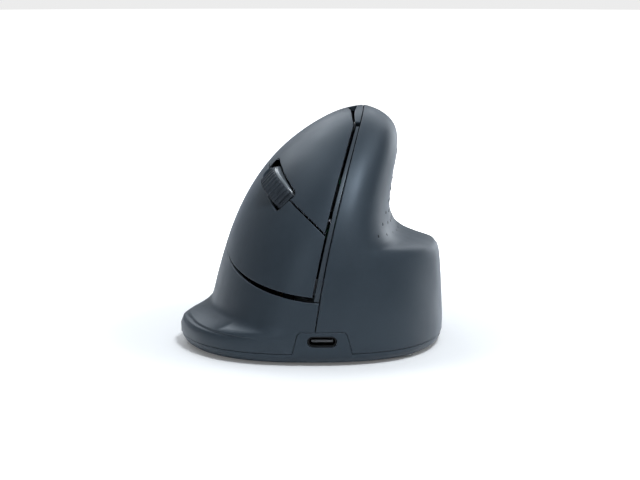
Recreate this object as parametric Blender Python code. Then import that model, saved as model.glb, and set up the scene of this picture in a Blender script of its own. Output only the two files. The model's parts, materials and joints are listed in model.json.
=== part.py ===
"""A right-handed vertical computer mouse, wireless, charged through a USB-C port at its front.

Frame: +Z up, the desk is z = 0, the front (port) faces -Y, the thumb side faces +X, the wrist is at +Y.
Every size in this file is in millimetres; solid() scales each mesh to metres.
"""

import math

import bmesh
import bpy
import numpy as np
from mathutils import Matrix, Vector
from mathutils.geometry import delaunay_2d_cdt

MM = 0.001

# ---- Driving dimensions -------------------------------------------------------------------------
TOP = 78.0            # height of the ridge above the desk
FOOT = 0.7            # how far the glide feet lift the base off the desk
BASE_TOP = 3.8        # upper edge of the base tray
SEAM = 0.3            # gap between two casing parts
WALL = 2.0            # casing wall
KEY_WALL = 1.8        # wall of a button plate
FLOOR_TOP = 2.6       # inside face of the base
MIDDLE_Y = 2.0        # widest place of the body, low down
RIDGE_Y = -5.0        # highest place of the ridge
CENTRE = (0.64, 2.58, 0.0)  # middle of the footprint, which becomes the origin

FINGER, THUMB = -1, 1  # the two sides of the prow line

# Outlines of the casing, as control points of cubic B-splines. The last point is on the ridge.
FINGER_OUTLINE = [  # (x, z) of the finger side: little-finger ledge, then the long slope to the ridge
    (-41.6, 0.7), (-43.4, 1.4), (-44.5, 4.6), (-44.3, 9.5), (-38.6, 10.5), (-33.2, 11.7), (-32.4, 17.0),
    (-30.1, 26.0), (-26.2, 38.5), (-20.2, 51.0), (-11.6, 62.5), (-1.4, 70.8), (8.0, 76.0), (13.4, 77.4),
    (17.5, 78.3),
]
FINGER_BACK_OUTLINE = [  # the same slope without the ledge, towards the palm
    (-33.0, 0.7), (-34.6, 1.4), (-35.4, 4.6), (-34.8, 8.2), (-34.2, 9.6), (-33.4, 12.4), (-32.4, 17.0),
    (-30.1, 26.0), (-26.2, 38.5), (-20.2, 51.0), (-11.6, 62.5), (-1.4, 70.8), (8.0, 76.0), (13.4, 77.4),
    (17.5, 78.3),
]
THUMB_OUTLINE = [  # (x, z) of the thumb side: upright wall, thumb shelf, scoop, overhanging ridge
    (42.0, 0.7), (43.8, 1.4), (44.4, 4.6), (44.1, 12.0), (43.6, 22.0), (43.1, 29.0), (42.2, 34.0),
    (36.0, 35.1), (28.4, 36.4), (25.9, 41.5), (26.0, 48.0), (27.3, 57.0), (29.0, 65.5), (28.4, 72.0),
    (23.6, 76.0), (20.4, 77.2), (17.5, 78.3),
]
THUMB_END_OUTLINE = [  # the soft slope that the shelf runs out into, in front and towards the palm
    (42.0, 0.7), (43.8, 1.4), (44.4, 4.6), (43.4, 13.0), (39.4, 22.5), (32.8, 31.0), (27.6, 39.0),
    (26.1, 48.0), (27.3, 57.0), (29.0, 65.5), (28.4, 72.0), (23.6, 76.0), (20.4, 77.2), (17.5, 78.3),
]
FRONT_OUTLINE = [  # (y, z) of the prow
    (-54.0, 0.7), (-56.2, 1.4), (-57.0, 4.6), (-57.0, 12.0), (-56.3, 22.0), (-54.3, 33.0), (-50.8, 43.0),
    (-45.5, 53.0), (-38.0, 62.5), (-28.5, 70.6), (-18.5, 76.0), (-11.5, 77.4), (RIDGE_Y, 78.3),
]
BACK_OUTLINE = [  # (y, z) of the palm end
    (59.0, 0.7), (61.2, 1.4), (62.3, 4.6), (62.0, 12.0), (60.0, 22.0), (56.0, 33.0), (50.0, 43.0),
    (41.5, 53.0), (30.5, 62.5), (17.5, 70.6), (7.0, 76.0), (1.0, 77.4), (RIDGE_Y, 78.3),
]
SHELF_FROM = (20, 65)    # degrees round the body over which the thumb shelf rises in front
SHELF_TO = (82, 114)     # and over which it runs out again
LEDGE_TO = (70, 107)     # degrees over which the little-finger ledge runs out
# (exponent, z) of the superellipse that each level of the casing follows; 2 is an ellipse.
FINGER_FRONT_ROUND = [(2.5, 0.0), (2.5, 8.0), (2.25, 18.0), (2.1, 40.0), (2.05, 60.0), (2.0, TOP + 1)]
THUMB_FRONT_ROUND = [(2.5, 0.0), (2.5, 15.0), (2.6, 30.0), (2.8, 48.0), (2.6, 62.0), (2.2, TOP + 1)]
BACK_ROUND = [(2.4, 0.0), (2.4, 15.0), (2.3, 40.0), (2.2, 60.0), (2.1, TOP + 1)]

# ---- Seams and openings of the casing -----------------------------------------------------------
TAB_TOP = 10.8                      # the base rises to here round the port
TAB_LEFT, TAB_RIGHT = -4.2, 11.2    # x of the tab's sides at its top
TAB_SLOPE = 0.25                    # how much each side of the tab widens per millimetre downwards
KEY_BOTTOM = 20.1                   # top edge of the finger casing at the prow, under the lower button
KEY_CLIMB = 8.7                     # how far that edge climbs over the first 65 degrees
KEY_GAP_FRONT, KEY_GAP_BACK = 1.6, 0.35
KEY_TOP = 73.3                      # where the upper button's top edge meets the trim strip
TOP_GAP = 0.6                       # height of the gap over the upper button, on the nearly level ridge
KEY_EDGE_LOW, KEY_EDGE_HIGH = 2.6, 1.8   # distance from the prow line to the buttons' front edges
TRIM_GAP = 0.85                     # gap between trim strip and buttons
TRIM_DEPTH = 0.7                    # how deep the trim strip lies under the casing's surface
HINGE_PSI = math.radians(100)       # where the buttons end, round the body from the prow
HINGE_GAP = 0.5                     # gap between the buttons' hinged ends and the casing
SLIT = 0.4                          # gap between the two finger buttons
THUMB_WINDOW = (57.2, 64.4)         # z of the thumb buttons' window
THUMB_WINDOW_PSI = (math.radians(82), math.radians(132))
THUMB_KEY_SPLIT = math.radians(107)

# ---- Scroll wheel -------------------------------------------------------------------------------
WHEEL_PSI = math.radians(51)
WHEEL_TURN = math.radians(-4.6)     # how far the wheel is turned from the line of the gap between the buttons
WHEEL_R, WHEEL_W = 13.0, 7.4
WHEEL_DEPTH = 9.8                   # axle below the surface
SLOT_FRONT, SLOT_BACK = 12.2, 14.8  # the slot's ends, from the wheel's centre
SLOT_HALF_WIDTH, SLOT_CORNER = 4.3, 1.6
AXLE_R = 1.25

# ---- Boards and switches, in the finger frame ----------------------------------------------------
BOARD_TOP, BOARD_T = -16.0, 1.2
SWITCH_AT = (9.0, 10.5)             # along the finger, and sideways to each side of the wheel
SWITCH_SIZE = (12.8, 5.8, 6.5)
PLUNGER_OUT = 0.85
PIVOT_AT = (-17.0, -12.0)           # wheel carrier's pivot
CARRIER_BAR = 16.3                  # where the carrier presses the wheel switch
SPRING_A = 3.9                      # sideways place of the carrier's spring
THUMB_TIP = 21.9                    # x of the thumb switches' plungers
THUMB_SWITCH_Y = (-0.5, 12.6)
# x and y of the inner frame's legs
LEGS = [(-9.0, -6.0, -30.0, -22.0), (11.0, 14.0, -39.0, -34.5), (-9.5, -5.6, -10.5, -7.0)]

# ---- Port ---------------------------------------------------------------------------------------
PORT = (3.5, -56.0, 7.9)            # centre of the receptacle's mouth
PORT_OUTER = (8.94, 3.16)
PORT_INNER = (8.34, 2.56)
PORT_LENGTH = 7.3

CASE_SCREWS = [(-27.0, -26.0), (36.5, -16.0), (-22.5, 31.0), (32.0, 31.0)]
BOSS_TOP = 4.6
FEET = [(-22.0, -40.0, 0.5), (24.0, -41.0, -0.5), (-16.0, 46.0, -0.5), (23.0, 46.0, 0.5)]
SENSOR = (2.0, -14.0)
POWER = (15.0, -30.0)
PAIRING = (15.0, -14.0)
BATTERY = ((-17.0, 14.0, 4.0), (17.0, 48.0, 10.0))
MAIN_BOARD = [(-13.0, 4.0), (-13.0, -45.0), (-5.0, -53.2), (12.5, -53.2), (22.0, -45.5), (22.0, 4.0)]
MAIN_BOARD_Z = (5.0, 6.2)
THUMB_BOARD = ((16.4, -8.0, 56.3), (17.6, 16.8, 64.5))

TURN_TO_FRONT = Matrix(((1, 0, 0, 0), (0, 0, 1, 0), (0, 1, 0, 0), (0, 0, 0, 1)))  # (x, z, y) to (x, y, z)

COLOURS = {  # base colour, roughness, metallic
    "casing": ((0.060, 0.072, 0.085), 0.55, 0.0),
    "base": ((0.050, 0.058, 0.070), 0.6, 0.0),
    "trim": ((0.050, 0.060, 0.070), 0.3, 0.0),
    "tyre": ((0.018, 0.020, 0.024), 0.7, 0.0),
    "hub": ((0.090, 0.100, 0.110), 0.25, 0.0),
    "steel": ((0.60, 0.61, 0.62), 0.3, 1.0),
    "plastic": ((0.030, 0.032, 0.036), 0.5, 0.0),
    "plunger": ((0.75, 0.72, 0.66), 0.4, 0.0),
    "board": ((0.015, 0.075, 0.040), 0.45, 0.0),
    "chip": ((0.012, 0.012, 0.014), 0.35, 0.0),
    "lens": ((0.75, 0.80, 0.82), 0.05, 0.0),
    "cell": ((0.45, 0.50, 0.56), 0.35, 0.0),
    "foam": ((0.08, 0.08, 0.08), 0.9, 0.0),
    "glide": ((0.68, 0.69, 0.70), 0.4, 0.0),
    "red_wire": ((0.50, 0.02, 0.02), 0.5, 0.0),
    "black_wire": ((0.015, 0.015, 0.015), 0.5, 0.0),
    "ribbon": ((0.55, 0.35, 0.12), 0.45, 0.0),
}


# ---- Curves and the casing's surface ------------------------------------------------------------
def bspline(points, smooth_end=False, steps=100):
    """Points along the cubic B-spline of these control points, from the first to the last of them.
    With smooth_end the curve arrives level at its last point, as it must on the ridge."""
    p = np.array(points, float)
    before = 2 * p[0] - p[1]
    after = np.array([2 * p[-1][0] - p[-2][0], p[-2][1]]) if smooth_end else 2 * p[-1] - p[-2]
    p = np.vstack([before, p, after])
    t = np.linspace(0, 1, steps, endpoint=False)[:, None]
    weights = [(1 - t) ** 3, 3 * t ** 3 - 6 * t ** 2 + 4, -3 * t ** 3 + 3 * t ** 2 + 3 * t + 1, t ** 3]
    spans = [sum(w * p[i + k] for k, w in enumerate(weights)) / 6 for i in range(len(p) - 3)]
    end = (p[-3] + 4 * p[-2] + p[-1]) / 6
    return np.vstack(spans + [end])


def outline(points, smooth_end=True):
    """A function that gives an outline's first coordinate at height z."""
    curve = bspline(points, smooth_end)
    return lambda z: np.interp(z, curve[:, 1], curve[:, 0])


middle_x = {FINGER: outline(FINGER_OUTLINE), THUMB: outline(THUMB_OUTLINE)}
end_x = {FINGER: outline(FINGER_BACK_OUTLINE), THUMB: outline(THUMB_END_OUTLINE)}
front_y = outline(FRONT_OUTLINE)
back_y = outline(BACK_OUTLINE)
front_round = {FINGER: outline(FINGER_FRONT_ROUND, False), THUMB: outline(THUMB_FRONT_ROUND, False)}
back_round = outline(BACK_ROUND, False)


def smooth_step(t):
    t = np.clip(t, 0, 1)
    return t * t * (3 - 2 * t)


def rise(psi, degrees):
    """0 to 1 over this range of degrees round the body."""
    start, end = (math.radians(d) for d in degrees)
    return smooth_step((psi - start) / (end - start))


def side_x(side, psi, z):
    """x of the casing's side at height z, as the level at this angle round the body follows it."""
    share = 1 - rise(psi, LEDGE_TO) if side == FINGER else rise(psi, SHELF_FROM) * (1 - rise(psi, SHELF_TO))
    return end_x[side](z) + share * (middle_x[side](z) - end_x[side](z))


def prow_x(z):
    """The line between the finger half and the thumb half leans towards the thumb."""
    return 0.10 * z + 0.0016 * z * z


def middle_y(z):
    return MIDDLE_Y + (RIDGE_Y - MIDDLE_Y) * smooth_step(z / TOP)


def skin(side, psi, z):
    """A point of the casing's outer surface: psi runs round a level from the prow to the back."""
    psi, z = np.broadcast_arrays(np.asarray(psi, float), np.asarray(z, float))
    x0, y0 = prow_x(z), middle_y(z)
    below_top = z < TOP - 0.001
    across = side * (side_x(side, psi, z) - x0) * below_top
    along = np.where(np.cos(psi) > 0, y0 - front_y(z), back_y(z) - y0) * below_top
    to_back = smooth_step((psi - math.radians(60)) / math.radians(60))
    n = front_round[side](z) * (1 - to_back) + back_round(z) * to_back
    sine, cosine = np.abs(np.sin(psi)), np.abs(np.cos(psi))
    rho = (sine ** n + cosine ** n) ** (-1 / n)
    x = x0 + side * (across * rho * np.sin(psi) + SEAM / 2)
    y = y0 - along * rho * np.cos(psi)
    return np.stack([x, y, z], -1)


def outward(side, psi, z):
    """The unit normal of skin()."""
    psi, z = np.broadcast_arrays(np.asarray(psi, float), np.asarray(z, float))
    z1, z0 = np.clip(z + 0.1, FOOT, TOP), np.clip(z - 0.1, FOOT, TOP - 0.05)
    below = np.minimum(z, TOP - 0.02)
    round_step = skin(side, psi + 0.01, below) - skin(side, psi - 0.01, below)
    up_step = skin(side, psi, z1) - skin(side, psi, z0)
    normal = np.cross(round_step, up_step) * side
    normal[z > TOP - 0.01] = (0, 0, 1)
    return normal / np.linalg.norm(normal, axis=-1, keepdims=True)


def psi_at(side, distance, z):
    """The angle round the body at this sideways distance from the prow line, in front."""
    z = np.asarray(z, float)
    share = np.clip(distance / (side * (side_x(side, 0.1, z) - prow_x(z))), 0, 0.95)
    n = front_round[side](z)
    return np.arctan2(share, (1 - share ** n) ** (1 / n))


def key_edge(z):
    """Distance from the prow line to the buttons' front edges."""
    return np.interp(z, [KEY_BOTTOM, KEY_TOP], [KEY_EDGE_LOW, KEY_EDGE_HIGH])


def key_bottom(psi):
    """Top edge of the casing under the lower button, which climbs towards the back."""
    return KEY_BOTTOM + KEY_CLIMB * (np.asarray(psi) / math.radians(65)) ** 1.5


def key_gap(psi):
    """Gap under the lower button, which closes towards the hinge."""
    fade = np.clip(1 - (np.asarray(psi) / math.radians(68)) ** 2, 0, 1)
    return KEY_GAP_BACK + (KEY_GAP_FRONT - KEY_GAP_BACK) * fade


def slit_z(psi):
    """Centre line of the gap between the two finger buttons."""
    return 39.0 + 26.0 * (1 - np.exp(-np.asarray(psi) / math.radians(56)))


def key_top(psi):
    """Top edge of the upper button: up from the trim strip, then along the ridge."""
    past_trim = np.clip(np.asarray(psi) - math.radians(8), 0, None)
    return KEY_TOP + 3.9 * (1 - np.exp(-past_trim / math.radians(13)))


def hinge_edge(z):
    """The angle at which the buttons end, with an even gap to the casing behind them."""
    step = skin(FINGER, HINGE_PSI + 0.01, z) - skin(FINGER, HINGE_PSI - 0.01, z)
    return float(HINGE_PSI - HINGE_GAP * 0.02 / np.linalg.norm(step))


def towards_ridge(start, count):
    """Heights from start to the ridge, evenly spaced along the dome."""
    s = np.linspace(0, 1, count + 1)
    return TOP - (TOP - np.asarray(start)[..., None]) * (1 - s) ** 2


# ---- Mesh helpers -------------------------------------------------------------------------------
def material(name):
    found = bpy.data.materials.get(name)
    if found:
        return found
    colour, roughness, metallic = COLOURS[name]
    made = bpy.data.materials.new(name)
    made.use_nodes = True
    shader = made.node_tree.nodes["Principled BSDF"]
    shader.inputs["Base Color"].default_value = (*colour, 1)
    shader.inputs["Roughness"].default_value = roughness
    shader.inputs["Metallic"].default_value = metallic
    return made


def solid(name, points, faces, finish, frame=None, pivot=CENTRE, smooth=40):
    """A named object from points in millimetres. frame places them; pivot becomes the object's origin."""
    frame = frame or Matrix.Identity(4)
    pivot = Vector(pivot)
    mesh = bpy.data.meshes.new(name)
    mesh.from_pydata([((frame @ Vector(p)) - pivot) * MM for p in points], [], faces)
    tidy = bmesh.new()
    tidy.from_mesh(mesh)
    bmesh.ops.remove_doubles(tidy, verts=tidy.verts, dist=1e-6)
    bmesh.ops.dissolve_degenerate(tidy, dist=1e-7, edges=tidy.edges)
    bmesh.ops.recalc_face_normals(tidy, faces=tidy.faces)
    tidy.to_mesh(mesh)
    tidy.free()
    mesh.shade_smooth()
    mesh.set_sharp_from_angle(angle=math.radians(smooth))
    made = bpy.data.objects.new(name, mesh)
    made.location = (pivot - Vector(CENTRE)) * MM
    made.data.materials.append(material(finish))
    bpy.context.scene.collection.objects.link(made)
    return made


def grid_faces(outer, inner, keep):
    """Faces of the solid between two grids of points, for the cells that keep marks."""
    rows, columns = outer.shape[:2]
    low = rows * columns

    def at(i, j, layer):
        return layer * low + i * columns + j

    faces = []
    for i in range(rows - 1):
        for j in range(columns - 1):
            if not keep[i][j]:
                continue
            ring = [(i, j), (i + 1, j), (i + 1, j + 1), (i, j + 1)]
            faces.append([at(a, b, 0) for a, b in ring])
            faces.append([at(a, b, 1) for a, b in reversed(ring)])
            beside = [(i, j - 1), (i + 1, j), (i, j + 1), (i - 1, j)]
            for k, (p, q) in enumerate(beside):
                inside = 0 <= p < rows - 1 and 0 <= q < columns - 1 and keep[p][q]
                if not inside:
                    a, b = ring[k], ring[(k + 1) % 4]
                    faces.append([at(*a, 1), at(*b, 1), at(*b, 0), at(*a, 0)])
    return faces


def shell(name, side, psi, z, wall, finish, keep=None, lift=0.0, pivot=CENTRE):
    """A casing part: the surface over a grid of (psi, z), given a wall. keep marks its cells."""
    normal = outward(side, psi, z)
    outer = skin(side, psi, z) + lift * normal
    inner = skin(side, psi, z) - wall * normal
    if keep is None:
        keep = np.ones((psi.shape[0] - 1, psi.shape[1] - 1), bool)
    faces = grid_faces(outer, inner, keep)
    points = np.concatenate([outer.reshape(-1, 3), inner.reshape(-1, 3)])
    used = sorted({v for face in faces for v in face})
    renumber = {v: k for k, v in enumerate(used)}
    faces = [[renumber[v] for v in face] for face in faces]
    return solid(name, points[used], faces, finish, pivot=pivot)


def box_mesh(low, high):
    (a, b, c), (d, e, f) = low, high
    points = [(a, b, c), (d, b, c), (d, e, c), (a, e, c), (a, b, f), (d, b, f), (d, e, f), (a, e, f)]
    faces = [[3, 2, 1, 0], [4, 5, 6, 7], [0, 1, 5, 4], [1, 2, 6, 5], [2, 3, 7, 6], [3, 0, 4, 7]]
    return points, faces


def box(name, low, high, finish, frame=None, pivot=CENTRE):
    return solid(name, *box_mesh(low, high), finish, frame, pivot)


def prism_mesh(ring, low, high):
    """A ring of (a, b) points extruded along the third coordinate."""
    count = len(ring)
    points = [(a, b, c) for c in (low, high) for a, b in ring]
    faces = [[i, (i + 1) % count, count + (i + 1) % count, count + i] for i in range(count)]
    faces += [list(range(count - 1, -1, -1)), list(range(count, 2 * count))]
    return points, faces


def prism(name, ring, low, high, finish, frame=None, pivot=CENTRE):
    return solid(name, *prism_mesh(ring, low, high), finish, frame, pivot)


def circle(radius, count=24, at=(0, 0)):
    turn = [2 * math.pi * k / count for k in range(count)]
    return [(at[0] + radius * math.cos(a), at[1] + radius * math.sin(a)) for a in turn]


def rounded(width, height, radius, at=(0, 0), steps=4):
    """A rectangle's outline with round corners."""
    ring = []
    for k, (sx, sy) in enumerate([(1, 1), (-1, 1), (-1, -1), (1, -1)]):
        cx, cy = at[0] + sx * (width / 2 - radius), at[1] + sy * (height / 2 - radius)
        for s in range(steps + 1):
            a = math.pi / 2 * (k + s / steps)
            ring.append((cx + radius * math.cos(a), cy + radius * math.sin(a)))
    return ring


def turned(name, profile, finish, frame, count):
    """A closed (radius, height) profile turned about the frame's third axis."""
    rows = len(profile)
    points, faces = [], []
    for k in range(count):
        a = 2 * math.pi * k / count
        points += [(r * math.cos(a), r * math.sin(a), h) for r, h in profile]
    for k in range(count):
        for i in range(rows):
            a, b = k * rows + i, k * rows + (i + 1) % rows
            c, d = (k + 1) % count * rows + (i + 1) % rows, (k + 1) % count * rows + i
            faces.append([a, b, c, d])
    return solid(name, points, faces, finish, frame)


def combine(operation, target, *others):
    """Applies a Boolean with each of the other objects to the target, and removes them."""
    for other in others:
        step = target.modifiers.new(operation, "BOOLEAN")
        step.operation = operation
        step.solver = "EXACT"
        step.object = other
        graph = bpy.context.evaluated_depsgraph_get()
        result = bpy.data.meshes.new_from_object(target.evaluated_get(graph))
        target.modifiers.clear()
        target.data = result
        bpy.data.objects.remove(other)
    return target


def cut(target, *others):
    return combine("DIFFERENCE", target, *others)


def join(target, *others):
    return combine("UNION", target, *others)


def cord(name, path, up, radius, finish, sides):
    """A round cord along the points of a path; up is any direction that the path never follows."""
    forward = np.gradient(path, axis=0)
    across = np.cross(forward, up)
    across /= np.linalg.norm(across, axis=1, keepdims=True)
    beside = np.cross(forward, across)
    beside /= np.linalg.norm(beside, axis=1, keepdims=True)
    turn = [2 * math.pi * k / sides for k in range(sides)]
    points = []
    for p, u, v in zip(path, across, beside):
        points += [p + radius * (math.cos(a) * u + math.sin(a) * v) for a in turn]
    faces = []
    for i in range(len(path) - 1):
        for k in range(sides):
            m = (k + 1) % sides
            faces.append([i * sides + k, i * sides + m, (i + 1) * sides + m, (i + 1) * sides + k])
    faces += [list(range(sides)), list(range((len(path) - 1) * sides, len(path) * sides))]
    return solid(name, points, faces, finish)


def strip(name, route, half_width, thickness, finish, steps=4):
    """A flat cable along a smooth curve; half_width is a vector across it."""
    path = bspline(route, steps=steps)
    forward = np.gradient(path, axis=0)
    up = np.cross(forward, half_width)
    up *= thickness / 2 / np.linalg.norm(up, axis=1, keepdims=True)
    w = np.array(half_width, float)
    outer = np.stack([path - w + up, path + w + up], 1)
    inner = np.stack([path - w - up, path + w - up], 1)
    faces = grid_faces(outer, inner, np.ones((len(path) - 1, 1), bool))
    return solid(name, np.concatenate([outer.reshape(-1, 3), inner.reshape(-1, 3)]), faces, finish)


# ---- The finger frame: along the finger, along the axle, out of the surface ----------------------
def finger_frame():
    psi, step = WHEEL_PSI, math.radians(20)
    here = skin(FINGER, psi, slit_z(psi))
    along = skin(FINGER, psi - step, slit_z(psi - step)) - skin(FINGER, psi + step, slit_z(psi + step))
    out = outward(FINGER, psi, slit_z(psi))
    along -= out * (along @ out)
    along /= np.linalg.norm(along)
    along = along * math.cos(WHEEL_TURN) + np.cross(out, along) * math.sin(WHEEL_TURN)
    axle = np.cross(out, along)
    frame = Matrix.Identity(4)
    for k, axis in enumerate((along, axle, out)):
        for row in range(3):
            frame[row][k] = axis[row]
    for row in range(3):
        frame[row][3] = here[row]
    return frame


FRAME = finger_frame()
ALONG, AXLE, OUT = (np.array(FRAME.col[k][:3]) for k in range(3))
AXLE_FRAME = FRAME @ Matrix.Translation((0, 0, -WHEEL_DEPTH)) @ Matrix.Rotation(-math.pi / 2, 4, "X")


def in_finger(t, a, n=0.0):
    return FRAME @ Vector((t, a, n))


def drop_on_skin(t, a):
    """(psi, z) of the finger side's surface straight under the point (t, a) of the finger frame."""
    target = np.array(in_finger(t, a))
    psi, z = WHEEL_PSI, float(slit_z(WHEEL_PSI))
    for _ in range(25):
        miss = skin(FINGER, psi, z) - target
        by_psi = (skin(FINGER, psi + 1e-3, z) - skin(FINGER, psi, z)) / 1e-3
        by_z = (skin(FINGER, psi, z + 0.05) - skin(FINGER, psi, z)) / 0.05
        system = [[by_psi @ ALONG, by_z @ ALONG], [by_psi @ AXLE, by_z @ AXLE]]
        step = np.linalg.solve(system, [-(miss @ ALONG), -(miss @ AXLE)])
        psi, z = psi + step[0], z + step[1]
    return psi, z


def skin_depth(t, a):
    """Height of the surface over the finger frame's plane, which is 0 at the wheel and falls away."""
    return float((skin(FINGER, *drop_on_skin(t, a)) - np.array(in_finger(0, 0))) @ OUT)


# ---- Casing -------------------------------------------------------------------------------------
def between(*parts):
    """Joins stretches of grid lines: (start, end, steps) give evenly spaced shares."""
    values = [parts[0][0]]
    for start, end, steps in parts:
        values += list(np.linspace(start, end, steps + 1)[1:])
    return values


def tab_edge(side, z):
    """Distance from the prow line to the casing's edge beside the port tab."""
    height = np.minimum(z, TAB_TOP + SEAM)
    edge = TAB_RIGHT if side == THUMB else TAB_LEFT
    x = edge + side * ((TAB_TOP - height) * TAB_SLOPE + SEAM)
    return side * (x - prow_x(z)) - SEAM / 2


def settle(columns, rows):
    """The (psi, z) grid where column lines psi(z) cross row lines z(psi)."""
    psi = np.zeros((len(rows), len(columns)))
    z = np.zeros_like(psi)
    for i, row in enumerate(rows):
        for j, column in enumerate(columns):
            p, h = 0.5, 20.0
            for _ in range(12):
                h = float(row(p))
                p = float(column(h))
            psi[i, j], z[i, j] = p, h
    return psi, z


def column_lines(side, last_fixed, steps_front, steps_back):
    """Column lines of a casing half: prow, tab edge, then evenly round to last_fixed and the back."""
    tab = [lambda z: 0.0, lambda z: psi_at(side, tab_edge(side, min(z, 30.0)), min(z, 30.0))]

    def spaced(share, start=tab[1], end=last_fixed):
        return lambda z: start(z) + (end - start(z)) * share

    front = [spaced(s) for s in np.linspace(0, 1, steps_front + 1)[1:]]
    back = [lambda z, p=p: p for p in np.linspace(last_fixed, math.pi, steps_back + 1)[1:]]
    return tab + front + back


def finger_shell():
    low = [BASE_TOP + SEAM, 5.6, 7.2, 8.4, 9.3, 10.1, TAB_TOP + SEAM, 13.0, 16.0]
    columns = column_lines(FINGER, HINGE_PSI, 9, 9)
    rows = [lambda p, h=h: h for h in low]

    def upper(share):
        top_edge = lambda p: key_top(p) + TOP_GAP
        return lambda p: key_bottom(p) + (top_edge(p) - key_bottom(p)) * share

    def cap(share):
        return lambda p: TOP - (TOP - key_top(p) - TOP_GAP) * (1 - share) ** 2

    rows += [upper(s) for s in np.linspace(0, 1, 10)]
    rows += [cap(s) for s in np.linspace(0, 1, 4)[1:]]
    psi, z = settle(columns, rows)
    window_low, window_high = len(low), len(low) + 9
    hinge_column = 10
    keep = np.ones((len(rows) - 1, len(columns) - 1), bool)
    keep[window_low:window_high, :hinge_column] = False
    keep[:low.index(TAB_TOP + SEAM), 0] = False
    made = shell("finger_shell", FINGER, psi, z, WALL, "casing", keep)
    return add_bosses(made, FINGER)


def thumb_shell():
    low = [BASE_TOP + SEAM, 7.4, TAB_TOP + SEAM, 16.0, 21.0, 26.0, 30.0, 32.4]
    low += [33.8, 34.8, 35.6, 36.8, 38.6, 41.5, 46.0, 51.5]
    bottom, top = THUMB_WINDOW
    heights = low + [bottom, (bottom + top) / 2, top] + list(towards_ridge(68.0, 5))
    start, end = THUMB_WINDOW_PSI
    columns = column_lines(THUMB, start, 9, 1)[:-1]
    columns += [lambda z, p=p: p for p in np.linspace(start, end, 6)[1:]]
    columns += [lambda z, p=p: p for p in np.linspace(end, math.pi, 6)[1:]]
    psi, z = settle(columns, [lambda p, h=h: h for h in heights])
    keep = np.ones((len(heights) - 1, len(columns) - 1), bool)
    keep[len(low):len(low) + 2, 10:15] = False
    keep[:2, 0] = False
    made = shell("thumb_shell", THUMB, psi, z, WALL, "casing", keep)
    return add_bosses(made, THUMB)


def wall_x(side, y, z):
    """x of the casing's surface at this y and z."""
    ring = skin(side, np.linspace(0, math.pi, 90), z)
    return float(np.interp(y, ring[:, 1], ring[:, 0]))


def screw_boss(side, x, y):
    """A pillar that takes a case screw, with a web to the casing's wall."""
    pillar = prism("boss", circle(3.0, 20, (x, y)), BOSS_TOP + SEAM, 15.0, "casing")
    ends = sorted((x + side * 2.0, wall_x(side, y, 13.5) - side * WALL / 2))
    return join(pillar, box("web", (ends[0], y - 1.2, 12.0), (ends[1], y + 1.2, 14.6), "casing"))


def add_bosses(made, side):
    for x, y in CASE_SCREWS:
        if x * side > 0:
            join(made, screw_boss(side, x, y))
            cut(made, prism("hole", circle(1.45, 16, (x, y)), 0, 13.0, "casing"))
    return made


def slot_edge(half):
    """The wheel slot's outline on one side of the slit, as (psi, z) from front to back."""
    a0, radius = SLOT_HALF_WIDTH - SLOT_CORNER, SLOT_CORNER
    t0, t1 = SLOT_FRONT - radius, SLOT_BACK - radius
    turn = np.linspace(0, math.pi / 2, 4)
    front = [(t0 + radius * math.cos(a), a0 + radius * math.sin(a)) for a in turn]
    back = [(-t1 - radius * math.cos(a), a0 + radius * math.sin(a)) for a in turn[::-1]]
    middle = [(t, SLOT_HALF_WIDTH) for t in np.linspace(t0, -t1, 8)[1:-1]]
    ends = [end_on_slit(SLOT_FRONT, half), end_on_slit(-SLOT_BACK, half)]
    return [ends[0]] + [drop_on_skin(t, half * a) for t, a in front + middle + back] + [ends[1]]


def end_on_slit(t, half):
    """Where one edge of the slit meets the end of the wheel slot."""
    reach = [drop_on_skin(t, a) for a in np.linspace(-SLOT_HALF_WIDTH + 0.6, SLOT_HALF_WIDTH - 0.6, 15)]
    over = [z - (slit_z(psi) + half * SLIT / 2) for psi, z in reach]
    return tuple(np.interp(0, over, [p[k] for p in reach]) for k in range(2))


def key_boundary(half):
    """A finger button's outline as (psi, z) corners: half 1 is the upper button, -1 the lower one."""
    slot = slot_edge(half)
    height = slit_z(0.1)
    start = float(psi_at(FINGER, key_edge(height) - SEAM / 2, height))

    def on_slit(p):
        return p, float(slit_z(p) + half * SLIT / 2)

    near = [on_slit(p) for p in np.linspace(start, slot[0][0], 6)[:-1]] + slot
    near += [on_slit(p) for p in np.linspace(slot[-1][0], hinge_edge(float(slit_z(HINGE_PSI))), 5)[1:]]

    def far_edge(p):
        return float(key_top(p) if half > 0 else key_bottom(p) + key_gap(p))

    height = KEY_TOP if half > 0 else KEY_BOTTOM + KEY_GAP_FRONT
    start = float(psi_at(FINGER, key_edge(height) - SEAM / 2, height))
    far = [(p, far_edge(p)) for p in np.linspace(start, hinge_edge(far_edge(HINGE_PSI)), 14)]
    heights = np.linspace(far[0][1], near[0][1], 9)[1:-1]
    left = [(float(psi_at(FINGER, key_edge(z) - SEAM / 2, z)), z) for z in heights]
    right = [(hinge_edge(z), z) for z in np.linspace(near[-1][1], far[-1][1], 6)[1:-1]]
    return near + right + far[::-1] + left


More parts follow.
